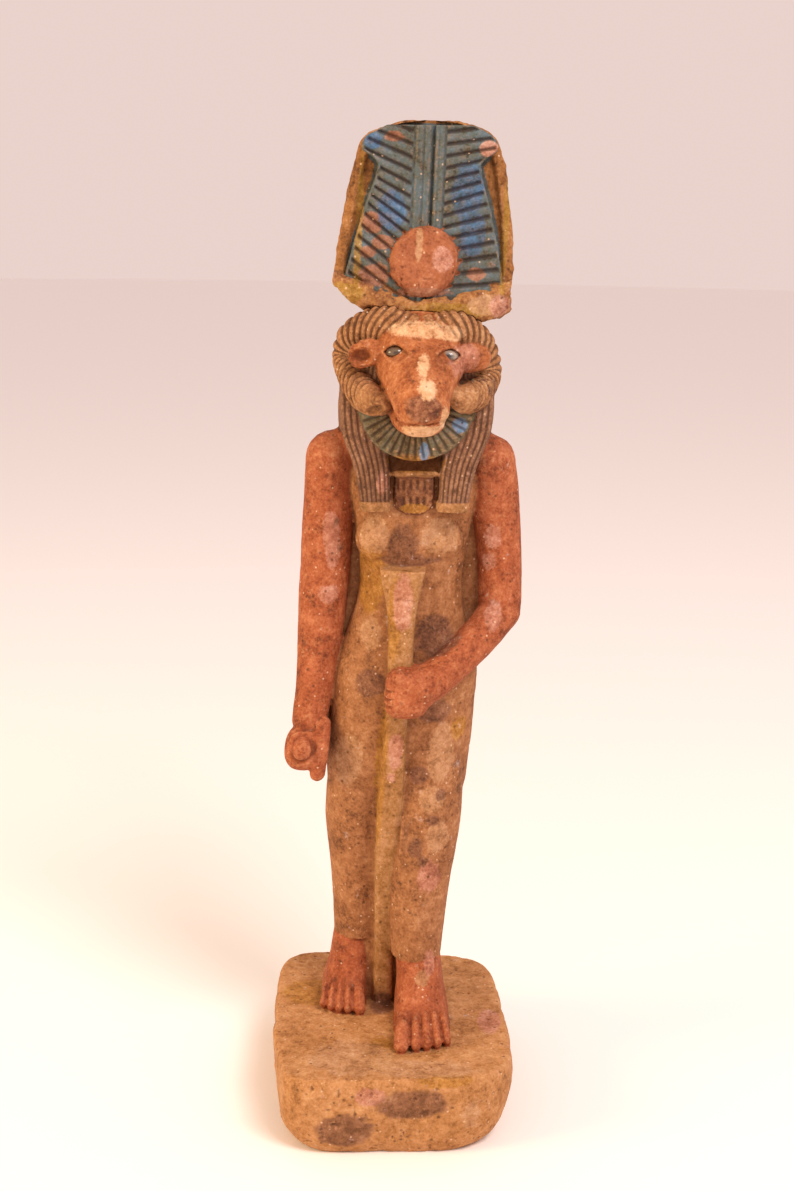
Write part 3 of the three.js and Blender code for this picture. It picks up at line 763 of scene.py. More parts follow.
def fuse(forms, parts):
    """All forms in one mesh, a tree to find the nearest of its faces, and the part of each face."""
    whole = bmesh.new()
    part_of_face = []
    for name, bm in forms:
        scratch = bpy.data.meshes.new("form")
        bm.to_mesh(scratch)
        bm.free()
        whole.from_mesh(scratch)
        part_of_face += [parts.index(name)] * len(scratch.polygons)
        bpy.data.meshes.remove(scratch)
    whole.faces.ensure_lookup_table()
    tree = BVHTree.FromBMesh(whole)
    mesh = bpy.data.meshes.new("forms")
    whole.to_mesh(mesh)
    whole.free()
    return mesh, tree, np.array(part_of_face)


def with_modifier(mesh, kind, **settings):
    """The mesh that a modifier makes of this one."""
    worked = bpy.data.objects.new("worked", mesh)
    bpy.context.scene.collection.objects.link(worked)
    modifier = worked.modifiers.new(kind.lower(), kind)
    for name, value in settings.items():
        setattr(modifier, name, value)
    depsgraph = bpy.context.evaluated_depsgraph_get()
    made = bpy.data.meshes.new_from_object(worked.evaluated_get(depsgraph))
    bpy.data.objects.remove(worked)
    bpy.data.meshes.remove(mesh)
    return made


def points_of(mesh):
    flat = np.empty(len(mesh.vertices) * 3, np.float32)
    mesh.vertices.foreach_get("co", flat)
    return flat.reshape(-1, 3).astype(float)


def put_points(mesh, points):
    mesh.vertices.foreach_set("co", points.astype(np.float32).ravel())
    mesh.update()


def normals_of(mesh):
    flat = np.empty(len(mesh.vertices) * 3, np.float32)
    mesh.vertex_normals.foreach_get("vector", flat)
    return flat.reshape(-1, 3).astype(float)


def edges_of(mesh):
    flat = np.empty(len(mesh.edges) * 2, np.int32)
    mesh.edges.foreach_get("vertices", flat)
    return flat.reshape(-1, 2)


def spread(values, edges, rounds, share=0.5):
    """Values moved towards the mean of their neighbours, a few times over."""
    values = values.copy()
    count = len(values)
    ends = np.concatenate((edges[:, 0], edges[:, 1]))
    others = np.concatenate((edges[:, 1], edges[:, 0]))
    degree = np.maximum(np.bincount(ends, minlength=count), 1)
    for _ in range(rounds):
        if values.ndim == 1:
            mean = np.bincount(ends, values[others], minlength=count) / degree
        else:
            columns = [np.bincount(ends, values[others, k], minlength=count) / degree for k in range(values.shape[1])]
            mean = np.column_stack(columns)
        values += (mean - values) * share
    return values


def parts_at(points, tree, part_of_face):
    """The part that each point of the surface belongs to."""
    return np.array([part_of_face[tree.find_nearest(Vector(point))[2]] for point in points])


def nearest_on_path(points, path):
    """For each point, the share of the nearest place on a path, and its offset from there."""
    share = np.empty(len(points))
    offset = np.empty_like(points)
    for start in range(0, len(points), 4000):
        block = points[start : start + 4000]
        gap = ((block[:, None, :] - path[None, :, :]) ** 2).sum(axis=2)
        best = gap.argmin(axis=1)
        share[start : start + 4000] = best / (len(path) - 1)
        offset[start : start + 4000] = block - path[best]
    return share, offset


# Carved patterns: a place across the grooves, with a groove at every whole number, and how deep they are there

def furrow(place, sharpness):
    return np.abs(np.cos(math.pi * place)) ** sharpness


HORN_RIDGES = 25
HORN_SMOOTH = 0.82
STRAND = 1.25
COLLAR_WEDGES = 26
PANEL_STROKE = 2.2


def masks_of(part, parts):
    return {name: part == index for index, name in enumerate(parts)}


def row_share(z, low, high):
    return eased(z, low - 0.3, low + 0.3) * (1 - eased(z, high - 0.3, high + 0.3))


def cuts_of_figure(points, part):
    """Across-groove place and depth in millimetres for every point of the figure."""
    x, y, z = points.T
    place = np.zeros(len(points))
    depth = np.zeros(len(points))
    where = masks_of(part, FIGURE_PARTS)
    for name, side in (("right horn", RIGHT), ("left horn", LEFT)):
        chosen = where[name]
        path, _, _ = path_of(HORNS[side], 600)
        share, offset = nearest_on_path(points[chosen], path)
        lean = 0.012 * offset[:, 2] - 0.006 * offset[:, 1]
        place[chosen] = (share + lean) * HORN_RIDGES
        depth[chosen] = 0.75 * (1 - eased(share, HORN_SMOOTH - 0.03, HORN_SMOOTH + 0.02))
    chosen = where["wig"]
    turn = np.arctan2((y[chosen] - 11) / 14.5, x[chosen] / 23)
    place[chosen] = turn * 20 / STRAND
    depth[chosen] = 0.42
    chosen = where["lappet"]
    rows = along(LAPPET, z[chosen])
    share = (x[chosen] - np.sign(x[chosen]) * rows[:, 0]) / rows[:, 2]
    place[chosen] = share * 3.5 + 0.5
    depth[chosen] = 0.42 * (1 - eased(np.abs(share), 0.94, 1.0))
    chosen = where["collar"]
    angle = np.arctan2(x[chosen], COLLAR["z"] - z[chosen])
    radius = np.hypot(x[chosen], COLLAR["z"] - z[chosen])
    place[chosen] = angle / COLLAR["half"] * COLLAR_WEDGES / 2
    depth[chosen] = 0.42 * (1 - eased(radius, COLLAR["outer"] - 1.0, COLLAR["outer"] - 0.5))
    chosen = where["panel"] & (y < 0)
    place[chosen] = x[chosen] / PANEL_STROKE + 0.5
    for low, high, count in PANEL_ROWS:
        inside = 1 - eased(np.abs(x[chosen]), count * PANEL_STROKE / 2 - 0.2, count * PANEL_STROKE / 2 + 0.2)
        depth[chosen] = np.maximum(depth[chosen], 0.6 * row_share(z[chosen], low, high) * inside)
    return place, depth


def carve_eyes(moved, x, y, z):
    """Almond sockets with a raised rim, under a soft brow."""
    front = y < -5
    for side, (middle, _, level) in EYES.items():
        across = (x - middle) / (EYE_HALF[0] + 0.6)
        height = (z - level) / (EYE_HALF[2] + 0.25)
        almond = np.abs(height) + across**2
        socket = front & (almond < 1.25)
        moved[:, 1] += np.where(socket, 2.4 * (1 - eased(almond, 0.7, 1.1)), 0)
        moved[:, 1] -= np.where(front, 0.55 * bump_at(almond, 1.35, 0.26), 0)
        brow = bump_at(x, middle + side * 0.4, 5) * bump_at(z, level + 4.3, 1.8)
        moved[:, 1] -= np.where(front, 0.7 * brow, 0)


def carve_muzzle(moved, x, y, z, where):
    """The mouth, and the nostrils as two curved cuts."""
    front = where["face"] & (y < -14)
    across = x - NOSE[0]
    line = 228.7 + 0.02 * across**2 + 0.06 * across
    moved[:, 1] += np.where(front & (np.abs(across) < 8), 1.1 * bump_at(z, line, 0.42), 0)
    for side in (RIGHT, LEFT):
        reach = np.hypot((across - side * 4.4) / 1.3, (z - 233 - 0.3 * (side * across - 4.4)) / 0.6)
        moved[:, 1] += np.where(front, 0.7 * np.exp(-(reach**2)), 0)


def carve_hollows(moved, x, y, z, where):
    """The hollow of the right ear, and the one under the right horn's tip."""
    chosen = where["right ear"] & (y < -6)
    hollow = np.hypot((x + 17.4) / 3.9, (z - 247.4) / 2.9)
    moved[:, 1] += np.where(chosen, 2.8 * (1 - eased(hollow, 0.4, 1.0)), 0)
    chosen = where["right horn"] & (y < -4)
    hollow = np.hypot((x + 12.8) / 3.6, (z - 231.6 - 0.25 * (x + 12.8)) / 2.0)
    moved[:, 1] += np.where(chosen, 2.0 * (1 - eased(hollow, 0.35, 1.0)), 0)


def finger_cuts(x, y, z, where):
    """How deep the gaps between fingers go in, and the ring cut round the roll's end."""
    cut = np.zeros(len(x))
    left = where["hand"] & (z > 130)
    for level in (142.2, 139.5, 136.9):
        gap = bump_at(z - 0.25 * (x + 6), level, 0.5) * eased(-x, 2.5, 5.5)
        cut = np.maximum(cut, np.where(left, 1.0 * gap, 0))
    right = where["hand"] & (z < 130)
    for level in (0.4, 4.2, 8.0):
        cut = np.maximum(cut, np.where(right & (x < -28), 0.7 * bump_at(y, level, 0.6), 0))
    ring = np.hypot((x - ROLL[0][0]) / 3.9, (z - ROLL[0][2]) / 4.4)
    near = (right | where["roll"]) & (y < 1)
    cut = np.maximum(cut, np.where(near, 1.1 * bump_at(ring, 1.0, 0.14), 0))
    return cut


def old_stone(points, where):
    """Unevenness and pits, stronger on the plinth's front than anywhere else."""
    x, y, z = points.T
    block = np.where(where["plinth"], np.where(z < PLINTH_TOP - 1, 1.0, 0.6), 0.35)
    lumps = 0.45 * rough(points, 9, 1) + 0.22 * rough(points, 3.1, 2) + 0.1 * rough(points, 1.3, 3)
    pits = eased(rough(points, 1.7, 4), 0.62, 0.85) * np.where(where["plinth"], 0.5, 0.25)
    smooth_spot = bump_at(np.hypot((x - 26.5) / 4.2, (z - 13.5) / 8.0), 0, 0.9) * (y < -35)
    return (block * lumps + pits) * (1 - 0.8 * smooth_spot)


def carve_figure(points, normals, part, edges):
    x, y, z = points.T
    where = masks_of(part, FIGURE_PARTS)
    place, depth = cuts_of_figure(points, part)
    sharp = np.where(where["right horn"] | where["left horn"], 4.5, 3.0)
    inward = spread(depth * furrow(place, sharp), edges, 1, 0.35)
    inward += finger_cuts(x, y, z, where) + old_stone(points, where)
    moved = points - normals * inward[:, None]
    carve_eyes(moved, x, y, z)
    carve_muzzle(moved, x, y, z, where)
    carve_hollows(moved, x, y, z, where)
    moved[:, 2] = np.maximum(moved[:, 2], 0)
    return moved


def barb_place(x, z, side):
    """Which groove of a feather a point is on, counted upwards."""
    barbs = BARBS[side]
    reach = np.abs(x) - abs(FEATHER_INNER[side])
    at = z.copy()
    for _ in range(4):
        at = z - along(barbs["rise"], at)[:, 0] * reach
    return (at - barbs["low"]) / (barbs["high"] - barbs["low"]) * (barbs["count"] - 1)


def cuts_of_crown(points, part):
    x, y, z = points.T
    place = np.zeros(len(points))
    depth = np.zeros(len(points))
    for name, side in (("right feather", RIGHT), ("left feather", LEFT)):
        chosen = part == CROWN_PARTS.index(name)
        outer = along(FEATHER_OUTER, z[chosen])[:, 0]
        reach = np.abs(x[chosen])
        inner = abs(FEATHER_INNER[side])
        place[chosen] = barb_place(x[chosen], z[chosen], side)
        inside = eased(reach, inner + 0.1, inner + 0.7) * (1 - eased(reach, outer - 1.2, outer - 0.4))
        depth[chosen] = inside * (y[chosen] < 2)
    return place, depth


def carve_crown(points, normals, part, edges):
    x, y, z = points.T
    where = masks_of(part, CROWN_PARTS)
    feathers = (where["right feather"] | where["left feather"]) & (y < 2)
    place, depth = cuts_of_crown(points, part)
    back = depth * (0.4 * furrow(place, 1.6) + 0.85 * furrow(place, 11.0))
    for groove, deep, width in SHAFT_GROOVES:
        back = np.where(feathers, back + deep * bump_at(x, groove, width), back)
    rim = along(SLAB_HALF, z)[:, 0] - SLAB_RIM
    sunk = where["slab"] & (y < 6)
    back = np.where(sunk, back + 1.7 * (1 - eased(np.abs(x), rim - 0.7, rim + 0.7)), back)
    moved = points.copy()
    moved[:, 1] += spread(back, edges, 1, 0.3)
    amount = np.select([where["crown foot"], where["slab"], where["disk"]], [1.35, 0.7, 0.55], 0.3)
    lumps = 0.5 * rough(points, 6, 11) + 0.42 * rough(points, 2.4, 12) + 0.2 * rough(points, 1.1, 13)
    crust = np.where(where["crown foot"], 0.7 * np.abs(rough(points, 3.4, 14)) - 0.3, 0)
    moved -= normals * (amount * lumps + crust)[:, None]
    pits = eased(rough(points, 1.8, 15), 0.45, 0.75) * 0.9
    lower_left = bump_at(x + 4, 0, 8) * bump_at(z - DISK["centre"][2] + 6, 0, 6)
    moved[:, 1] += np.where(where["disk"] & (y < 0), pits * lower_left, 0)
    moved[:, 2] = np.minimum(moved[:, 2], CROWN_TOP)
    return moved


def seat_on(points, tree):
    """Points that would sink into the stone below are laid just over it."""
    seated = points.copy()
    for index in np.flatnonzero(points[:, 2] < SEAT_TOP):
        point = Vector(points[index])
        place, normal, _, _ = tree.find_nearest(point)
        if normal.dot(point - place) < SEAT_GAP:
            seated[index] = place + normal * SEAT_GAP
    return seated


# Attributes that the materials read

def put_value(mesh, name, values):
    layer = mesh.attributes.new(name, "FLOAT", "POINT")
    layer.data.foreach_set("value", values.astype(np.float32))


def put_three(mesh, name, values):
    layer = mesh.attributes.new(name, "FLOAT_COLOR", "POINT")
    rgba = np.ones((len(values), 4), np.float32)
    rgba[:, :3] = values
    layer.data.foreach_set("color", rgba.ravel())


def hollowness(points, normals, edges, rounds):
    """Above 0 in hollows and below 0 on edges, in millimetres."""
    smooth = spread(points, edges, rounds)
    return ((smooth - points) * normals).sum(axis=1)


FIGURE_COATS = {
    "skin": ["foot", "arm", "hand", "roll"],
    "dress": ["dress", "web"],
    "wig": ["wig", "lappet", "throat"],
    "horn": ["right horn", "left horn"],
    "face": ["face", "right ear", "left ear"],
    "collar": ["collar"],
    "panel": ["panel"],
    "band": ["band", "ledge"],
    "staff": ["staff"],
    "plinth": ["plinth"],
}
CROWN_COATS = {
    "feather": ["right feather", "left feather"],
    "rim": ["slab"],
    "disk": ["disk"],
    "foot": ["crown foot"],
}


def put_coats(mesh, coats, parts, part, edges):
    """One smooth mask for each coat of paint, three to an attribute."""
    names = list(coats)
    masks = np.zeros((len(part), len(names) + (-len(names)) % 3))
    for column, members in enumerate(coats.values()):
        masks[:, column] = np.isin(part, [parts.index(member) for member in members])
    masks = spread(masks, edges, 2)
    for start in range(0, masks.shape[1], 3):
        put_three(mesh, f"coats_{start // 3}", masks[:, start : start + 3])


def patch(points, centre, half, soft=0.35):
    """A soft round patch."""
    reach = np.sqrt((((points - np.array(centre)) / np.array(half)) ** 2).sum(axis=1))
    return 1 - eased(reach, 1 - soft, 1 + soft)


# Worn and stained places, with painted shadow among the brown ones and painted warm side light among the ochre ones:
# centre and half sizes, in the order in which the coats lie
FIGURE_PATCHES = {
    # The ochre marks are partly ochre paint and partly painted warm side light on the figure's right side, as along the
    # staff's right-hand edge
    "ochre": [
        [(-5.0, -9, 165), (2.2, 8, 14)],
        [(-5.6, -5, 112), (1.8, 8, 26)],
        [(0, -5, 214.5), (9, 6, 3.4)],
        [(-13, 2, 176), (5, 12, 12)],
        [(19.3, -2, 126), (3.4, 8, 4.4)],
        [(-3, -30, 26), (5, 12, 3)],
        [(18, -48, 26), (9, 5, 2.4)],
        [(-26, 14, 26), (12, 10, 3)],
        [(0, -6, 199.5), (5, 5, 1.6)],
    ],
    "pale": [
        [(-12.4, -3, 190.4), (5, 8, 6)],
        [(9.2, -3, 190.6), (6, 8, 6)],
        [(-12.4, -3, 158), (3.8, 8, 5.3)],
        [(-16.1, 2, 115), (4.6, 8, 9.5)],
        [(14.1, -5, 119), (5, 8, 10)],
        [(11.8, -6, 103.6), (4.4, 8, 4.6)],
        [(14.3, -6, 91), (4, 8, 5)],
        [(26.5, -50, 13.5), (4, 6, 7)],
        [(-12, -34, 26), (14, 12, 3)],
        [(10, -40, 26), (18, 6, 3)],
        [(10.2, -12, 42.6), (2.8, 8, 2.6)],
    ],
    "pink": [
        [(-26.2, 4, 190.2), (2.8, 8, 7)],
        [(-25.4, 4, 183), (2.4, 8, 5)],
        [(-26.3, 4, 169.7), (3.2, 8, 3)],
        [(-10.1, -7, 207.9), (1.8, 6, 3.4)],
        [(25.7, 3, 189), (3, 8, 4)],
        [(24.6, 3, 181), (2.6, 8, 3)],
        [(26.9, 0, 164), (2.8, 8, 4.6)],
        [(-2.4, -11, 171), (3.2, 4, 9)],
        [(-1.2, -7, 121), (2.4, 6, 7)],
        [(-1.9, -6, 111.6), (1.4, 6, 1.8)],
        [(11.8, -7, 77.3), (4, 8, 5.4)],
        [(12.7, -8, 47.6), (2, 6, 4.2)],
        [(33, -6, 26), (4, 9, 3)],
        [(14.5, -14, 247), (5, 10, 6)],
        [(-6, -50, 21), (5, 6, 3)],
    ],
    # The brown marks are partly stains and partly painted shadow, in the creases under and between the breasts and
    # beside the left forearm
    "brown": [
        [(1.6, -28, 233.8), (5.4, 6, 4.3)],
        [(-3, -3, 188), (4.6, 8, 6.5)],
        [(-1, -4, 182.5), (11, 8, 1.8)],
        [(9, -3, 158), (7, 8, 7)],
        [(-11.5, -3, 142), (5.2, 8, 4.8)],
        [(10.3, -5, 133), (6.4, 8, 4)],
        [(7.3, -6, 111.5), (3.2, 8, 3)],
        [(14.7, -5, 105.2), (1.6, 8, 2)],
        [(12.6, -6, 96.7), (2, 8, 2)],
        [(7, -6, 87.3), (2.6, 8, 3.4)],
        [(9.6, -6, 82.6), (2, 8, 2)],
        [(-24.6, 3, 193.4), (1.2, 8, 1.2)],
        [(-23.2, 3, 184.6), (1.2, 8, 1.1)],
        [(-3.1, 3, 27.5), (4.4, 6, 3)],
        [(-14, -50, 9), (9, 6, 6)],
        [(8, -50, 18), (12, 6, 5)],
    ],
    "cream": [
        [(1.2, -17, 243), (2.4, 8, 6.5)],
        [(2.6, -24, 238.4), (3, 6, 3.6)],
        [(-0.5, -8, 255.6), (9.5, 8, 2.9)],
        [(8.5, -6, 254.6), (5, 8, 3)],
        [(1.6, -24, 226.6), (6.6, 6, 2.4)],
        [(8, -21, 231), (1.8, 8, 4.2)],
    ],
    "blue": [
        [(2.6, -9, 218.2), (1.5, 5, 3)],
        [(13.6, -9, 226.6), (2.6, 5, 2.4)],
    ],
}
CROWN_PATCHES = {
    # The ochre marks are partly ochre paint and partly painted warm side light, as on the crown foot's right end
    "ochre": [
        [(-24, -2, 266), (6, 6, 3.4)],
        [(8, -3, 261), (12, 6, 2.6)],
        [(-20.6, 0, 284), (1.2, 8, 26)],
        [(24.4, 0, 286), (1.0, 8, 24)],
    ],
    "pale": [
        [(20, -3, 263), (6, 6, 3)],
        [(-2, -3, 281), (1.2, 6, 5)],
    ],
    "pink": [
        [(24.5, -2, 262.5), (3.4, 6, 3.4)],
        [(18, -1, 309.6), (3, 5, 2.4)],
        [(5.5, -4, 276.5), (3.2, 3, 4)],
    ],
    # The brown marks are partly stains and partly painted shadow, as the band under the disk
    "brown": [
        [(-16.5, -1, 287.5), (3.4, 4, 3.4)],
        [(-13, -1, 281.5), (3.4, 4, 2.2)],
        [(-17.5, -1, 278.5), (2.6, 4, 2)],
        [(-15, -1, 271.5), (4.4, 4, 3.4)],
        [(-11, -1, 313), (3, 4, 1.6)],
        [(16, -1, 272.4), (3, 4, 2)],
        [(0, -3, 266.5), (9, 6, 1.6)],
    ],
    "cream": [],
    "blue": [
        [(12, 0, 297), (5, 6, 9)],
        [(14, 0, 284), (4, 6, 7)],
        [(-11, 0, 291), (4.5, 6, 6)],
        [(-17.5, 0, 311.4), (2.6, 6, 2.4)],
    ],
}


def stone_piece(name, forms, parts, carve, voxel, most):
    """One closed, carved stone from its forms, in millimetres, with its parts and edges."""
    mesh, tree, part_of_face = fuse(forms, parts)
    mesh = with_modifier(mesh, "REMESH", mode="VOXEL", voxel_size=voxel)
    edges = edges_of(mesh)
    points = points_of(mesh)
    part = parts_at(points, tree, part_of_face)
    for share in (0.5, -0.52, 0.5, -0.52):
        points = spread(points, edges, 1, share)
    put_points(mesh, points)
    put_points(mesh, carve(points, normals_of(mesh), part, edges))
    count = sum(len(polygon.vertices) - 2 for polygon in mesh.polygons)
    if count > most:
        mesh = with_modifier(mesh, "DECIMATE", ratio=most / count)
    mesh.name = name
    points = points_of(mesh)
    part = parts_at(points, tree, part_of_face)
    return mesh, points, part


def dress_mesh(mesh, points, part, parts, coats, cuts, patches):
    edges = edges_of(mesh)
    normals = normals_of(mesh)
    place, depth = cuts(points, part)
    put_coats(mesh, coats, parts, part, edges)
    put_value(mesh, "cut_place", place)
    put_value(mesh, "cut_depth", spread(np.clip(depth / 0.4, 0, 1), edges, 1))
    fine = hollowness(points, normals, edges, 3)
    broad = hollowness(points, normals, edges, 14)
    # Broad hollows, fine hollows and edges: the material darkens the hollows as grime and painted shade, and lightens
    # the edges as wear
    relief = np.column_stack(
        (np.clip(broad / 0.8, 0, 1), np.clip(fine / 0.25, 0, 1), np.clip(-fine / 0.2, 0, 1))
    )
    put_three(mesh, "relief", relief)
    marks = np.zeros((len(points), len(patches)))
    for column, places in enumerate(patches.values()):
        for centre, half in places:
            marks[:, column] = np.maximum(marks[:, column], patch(points, centre, half))
    for start in range(0, len(patches), 3):
        put_three(mesh, f"marks_{start // 3}", marks[:, start : start + 3])


def settle(mesh, points):
    """Drifted sideways with height, then put into metres."""
    points = points.copy()
    points[:, 0] += along(DRIFT, points[:, 2])[:, 0]
    put_points(mesh, points * MM)
    mesh.shade_smooth()


def put_piece(name, mesh, material, node):
    piece = bpy.data.objects.new(name, mesh)
    bpy.context.scene.collection.objects.link(piece)
    mesh.materials.clear()
    mesh.materials.append(material)
    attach(piece, "root")
    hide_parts(node)
    return piece


# Shader helpers

def tone(red, green, blue):
    """A colour as seen on a screen, 0 to 255, as the shader needs it."""
    def linear(value):
        share = value / 255
        return share / 12.92 if share <= 0.04045 else ((share + 0.055) / 1.055) ** 2.4
    return (linear(red), linear(green), linear(blue), 1.0)


def add(tree, kind, inputs=None, **settings):
    """A node with its settings, and its inputs as values or links."""
    made = tree.nodes.new(kind)
    for name, value in settings.items():
        setattr(made, name, value)
    for name, value in (inputs or {}).items():
        if isinstance(value, bpy.types.NodeSocket):
            tree.links.new(value, made.inputs[name])
        else:
            made.inputs[name].default_value = value
    return made


def sums(tree, operation, first, second=None, third=None, clamp=False):
    inputs = {0: first}
    if second is not None:
        inputs[1] = second
    if third is not None:
        inputs[2] = third
    return add(tree, "ShaderNodeMath", inputs, operation=operation, use_clamp=clamp).outputs[0]


def blend_colours(tree, share, below, above, blend_type="MIX"):
    made = tree.nodes.new("ShaderNodeMix")
    made.data_type = "RGBA"
    made.blend_type = blend_type
    for socket, value in ((made.inputs[0], share), (made.inputs[6], below), (made.inputs[7], above)):
        if isinstance(value, bpy.types.NodeSocket):
            tree.links.new(value, socket)
        else:
            socket.default_value = value
    return made.outputs[2]


def remap(tree, value, low, high, to_low=0.0, to_high=1.0):
    inputs = {"Value": value, "From Min": low, "From Max": high, "To Min": to_low, "To Max": to_high}
    return add(tree, "ShaderNodeMapRange", inputs, clamp=True, interpolation_type="SMOOTHSTEP").outputs["Result"]


def ramp(tree, factor, stops):
    made = add(tree, "ShaderNodeValToRGB", {"Fac": factor})
    elements = made.color_ramp.elements
    while len(elements) < len(stops):
        elements.new(0.5)
    for element, (position, colour) in zip(elements, stops):
        element.position = position
        element.color = colour
    return made.outputs["Color"]


def new_group(name, inputs, outputs):
    group = bpy.data.node_groups.new(name, "ShaderNodeTree")
    for label, kind, default in inputs:
        socket = group.interface.new_socket(label, in_out="INPUT", socket_type=kind)
        if default is not None:
            socket.default_value = default
    for label, kind in outputs:
        group.interface.new_socket(label, in_out="OUTPUT", socket_type=kind)
    return group, group.nodes.new("NodeGroupInput").outputs, group.nodes.new("NodeGroupOutput").inputs


def use_group(tree, group, **inputs):
    made = tree.nodes.new("ShaderNodeGroup")
    made.node_tree = group
    for name, value in inputs.items():
        socket = made.inputs[name.replace("_", " ").capitalize()]
        if isinstance(value, bpy.types.NodeSocket):
            tree.links.new(value, socket)
        else:
            socket.default_value = value
    return made.outputs


def stone_noise(tree, position, size_mm, detail=4.0, roughness=0.6, stretch=None):
    if stretch:
        position = add(tree, "ShaderNodeMapping", {"Vector": position, "Scale": stretch}).outputs["Vector"]
    inputs = {"Vector": position, "Scale": 1000 / size_mm, "Detail": detail, "Roughness": roughness}
    return add(tree, "ShaderNodeTexNoise", inputs).outputs["Fac"]


def make_mottle_group():
    """Uneven paint: broad patches, middle blotches and grain in one value around a half."""
    group, given, result = new_group(
        "mottled paint",
        [("Position", "NodeSocketVector", None), ("Broad", "NodeSocketFloat", 0.5), ("Grain", "NodeSocketFloat", 0.3)],
        [("Mottle", "NodeSocketFloat"), ("Grain", "NodeSocketFloat")],
    )
    broad = stone_noise(group, given["Position"], 11.0, 5.0, 0.62)
    blotch = stone_noise(group, given["Position"], 3.2, 4.0, 0.65)
    grain = stone_noise(group, given["Position"], 0.9, 3.0, 0.7)
    total = sums(group, "MULTIPLY_ADD", sums(group, "SUBTRACT", broad, 0.5), given["Broad"], 0.5)
    total = sums(group, "MULTIPLY_ADD", sums(group, "SUBTRACT", blotch, 0.5), given["Broad"], total)
    total = sums(group, "MULTIPLY_ADD", sums(group, "SUBTRACT", grain, 0.5), given["Grain"], total)
    group.links.new(total, result["Mottle"])
    group.links.new(grain, result["Grain"])
    return group


def make_edge_group():
    """A mask with its soft edge broken up by a field, as paint wears."""
    group, given, result = new_group(
        "worn paint edge",
        [
            ("Mask", "NodeSocketFloat", 0.0),
            ("Field", "NodeSocketFloat", 0.5),
            ("Ragged", "NodeSocketFloat", 0.8),
            ("Soft", "NodeSocketFloat", 0.12),
        ],
        [("Mask", "NodeSocketFloat")],
    )
    broken = sums(
        group,
        "MULTIPLY_ADD",
        sums(group, "SUBTRACT", given["Field"], 0.5),
        given["Ragged"],
        given["Mask"],
    )
    low = sums(group, "SUBTRACT", 0.5, given["Soft"])
    high = sums(group, "ADD", 0.5, given["Soft"])
    group.links.new(remap(group, broken, low, high), result["Mask"])
    return group


def make_cut_group():
    """The bottom of evenly cut grooves, which the material darkens, partly as grime and partly as painted shade."""
    group, given, result = new_group(
        "cut grooves",
        [
            ("Place", "NodeSocketFloat", 0.0),
            ("Depth", "NodeSocketFloat", 0.0),
            ("Width", "NodeSocketFloat", 0.3),
        ],
        [("Groove", "NodeSocketFloat")],
    )
    wave = sums(group, "ABSOLUTE", sums(group, "COSINE", sums(group, "MULTIPLY", given["Place"], math.pi)))
    narrow = sums(group, "SUBTRACT", 1.0, given["Width"])
    groove = remap(group, wave, narrow, 1.0)
    group.links.new(sums(group, "MULTIPLY", groove, given["Depth"]), result["Groove"])
    return group


def make_pit_group():
    """Small scattered pits."""
    group, given, result = new_group(
        "scattered pits",
        [("Position", "NodeSocketVector", None), ("Size", "NodeSocketFloat", 600.0), ("Share", "NodeSocketFloat", 0.2)],
        [("Pit", "NodeSocketFloat")],
    )
    cells = add(group, "ShaderNodeTexVoronoi", {"Vector": given["Position"], "Scale": given["Size"]})
    near = remap(group, cells.outputs["Distance"], 0.14, 0.34, 1.0, 0.0)
    split = add(group, "ShaderNodeSeparateColor", {"Color": cells.outputs["Color"]})
    kept = sums(group, "LESS_THAN", split.outputs[0], given["Share"])
    group.links.new(sums(group, "MULTIPLY", near, kept), result["Pit"])
    return group


MOTTLE = make_mottle_group()
WORN_EDGE = make_edge_group()
CUT = make_cut_group()
PITS = make_pit_group()


def attribute(tree, name):
    made = add(tree, "ShaderNodeAttribute", attribute_name=name, attribute_type="GEOMETRY")
    return made.outputs


def three_of(tree, name):
    split = add(tree, "ShaderNodeSeparateColor", {"Color": attribute(tree, name)["Color"]})
    return split.outputs


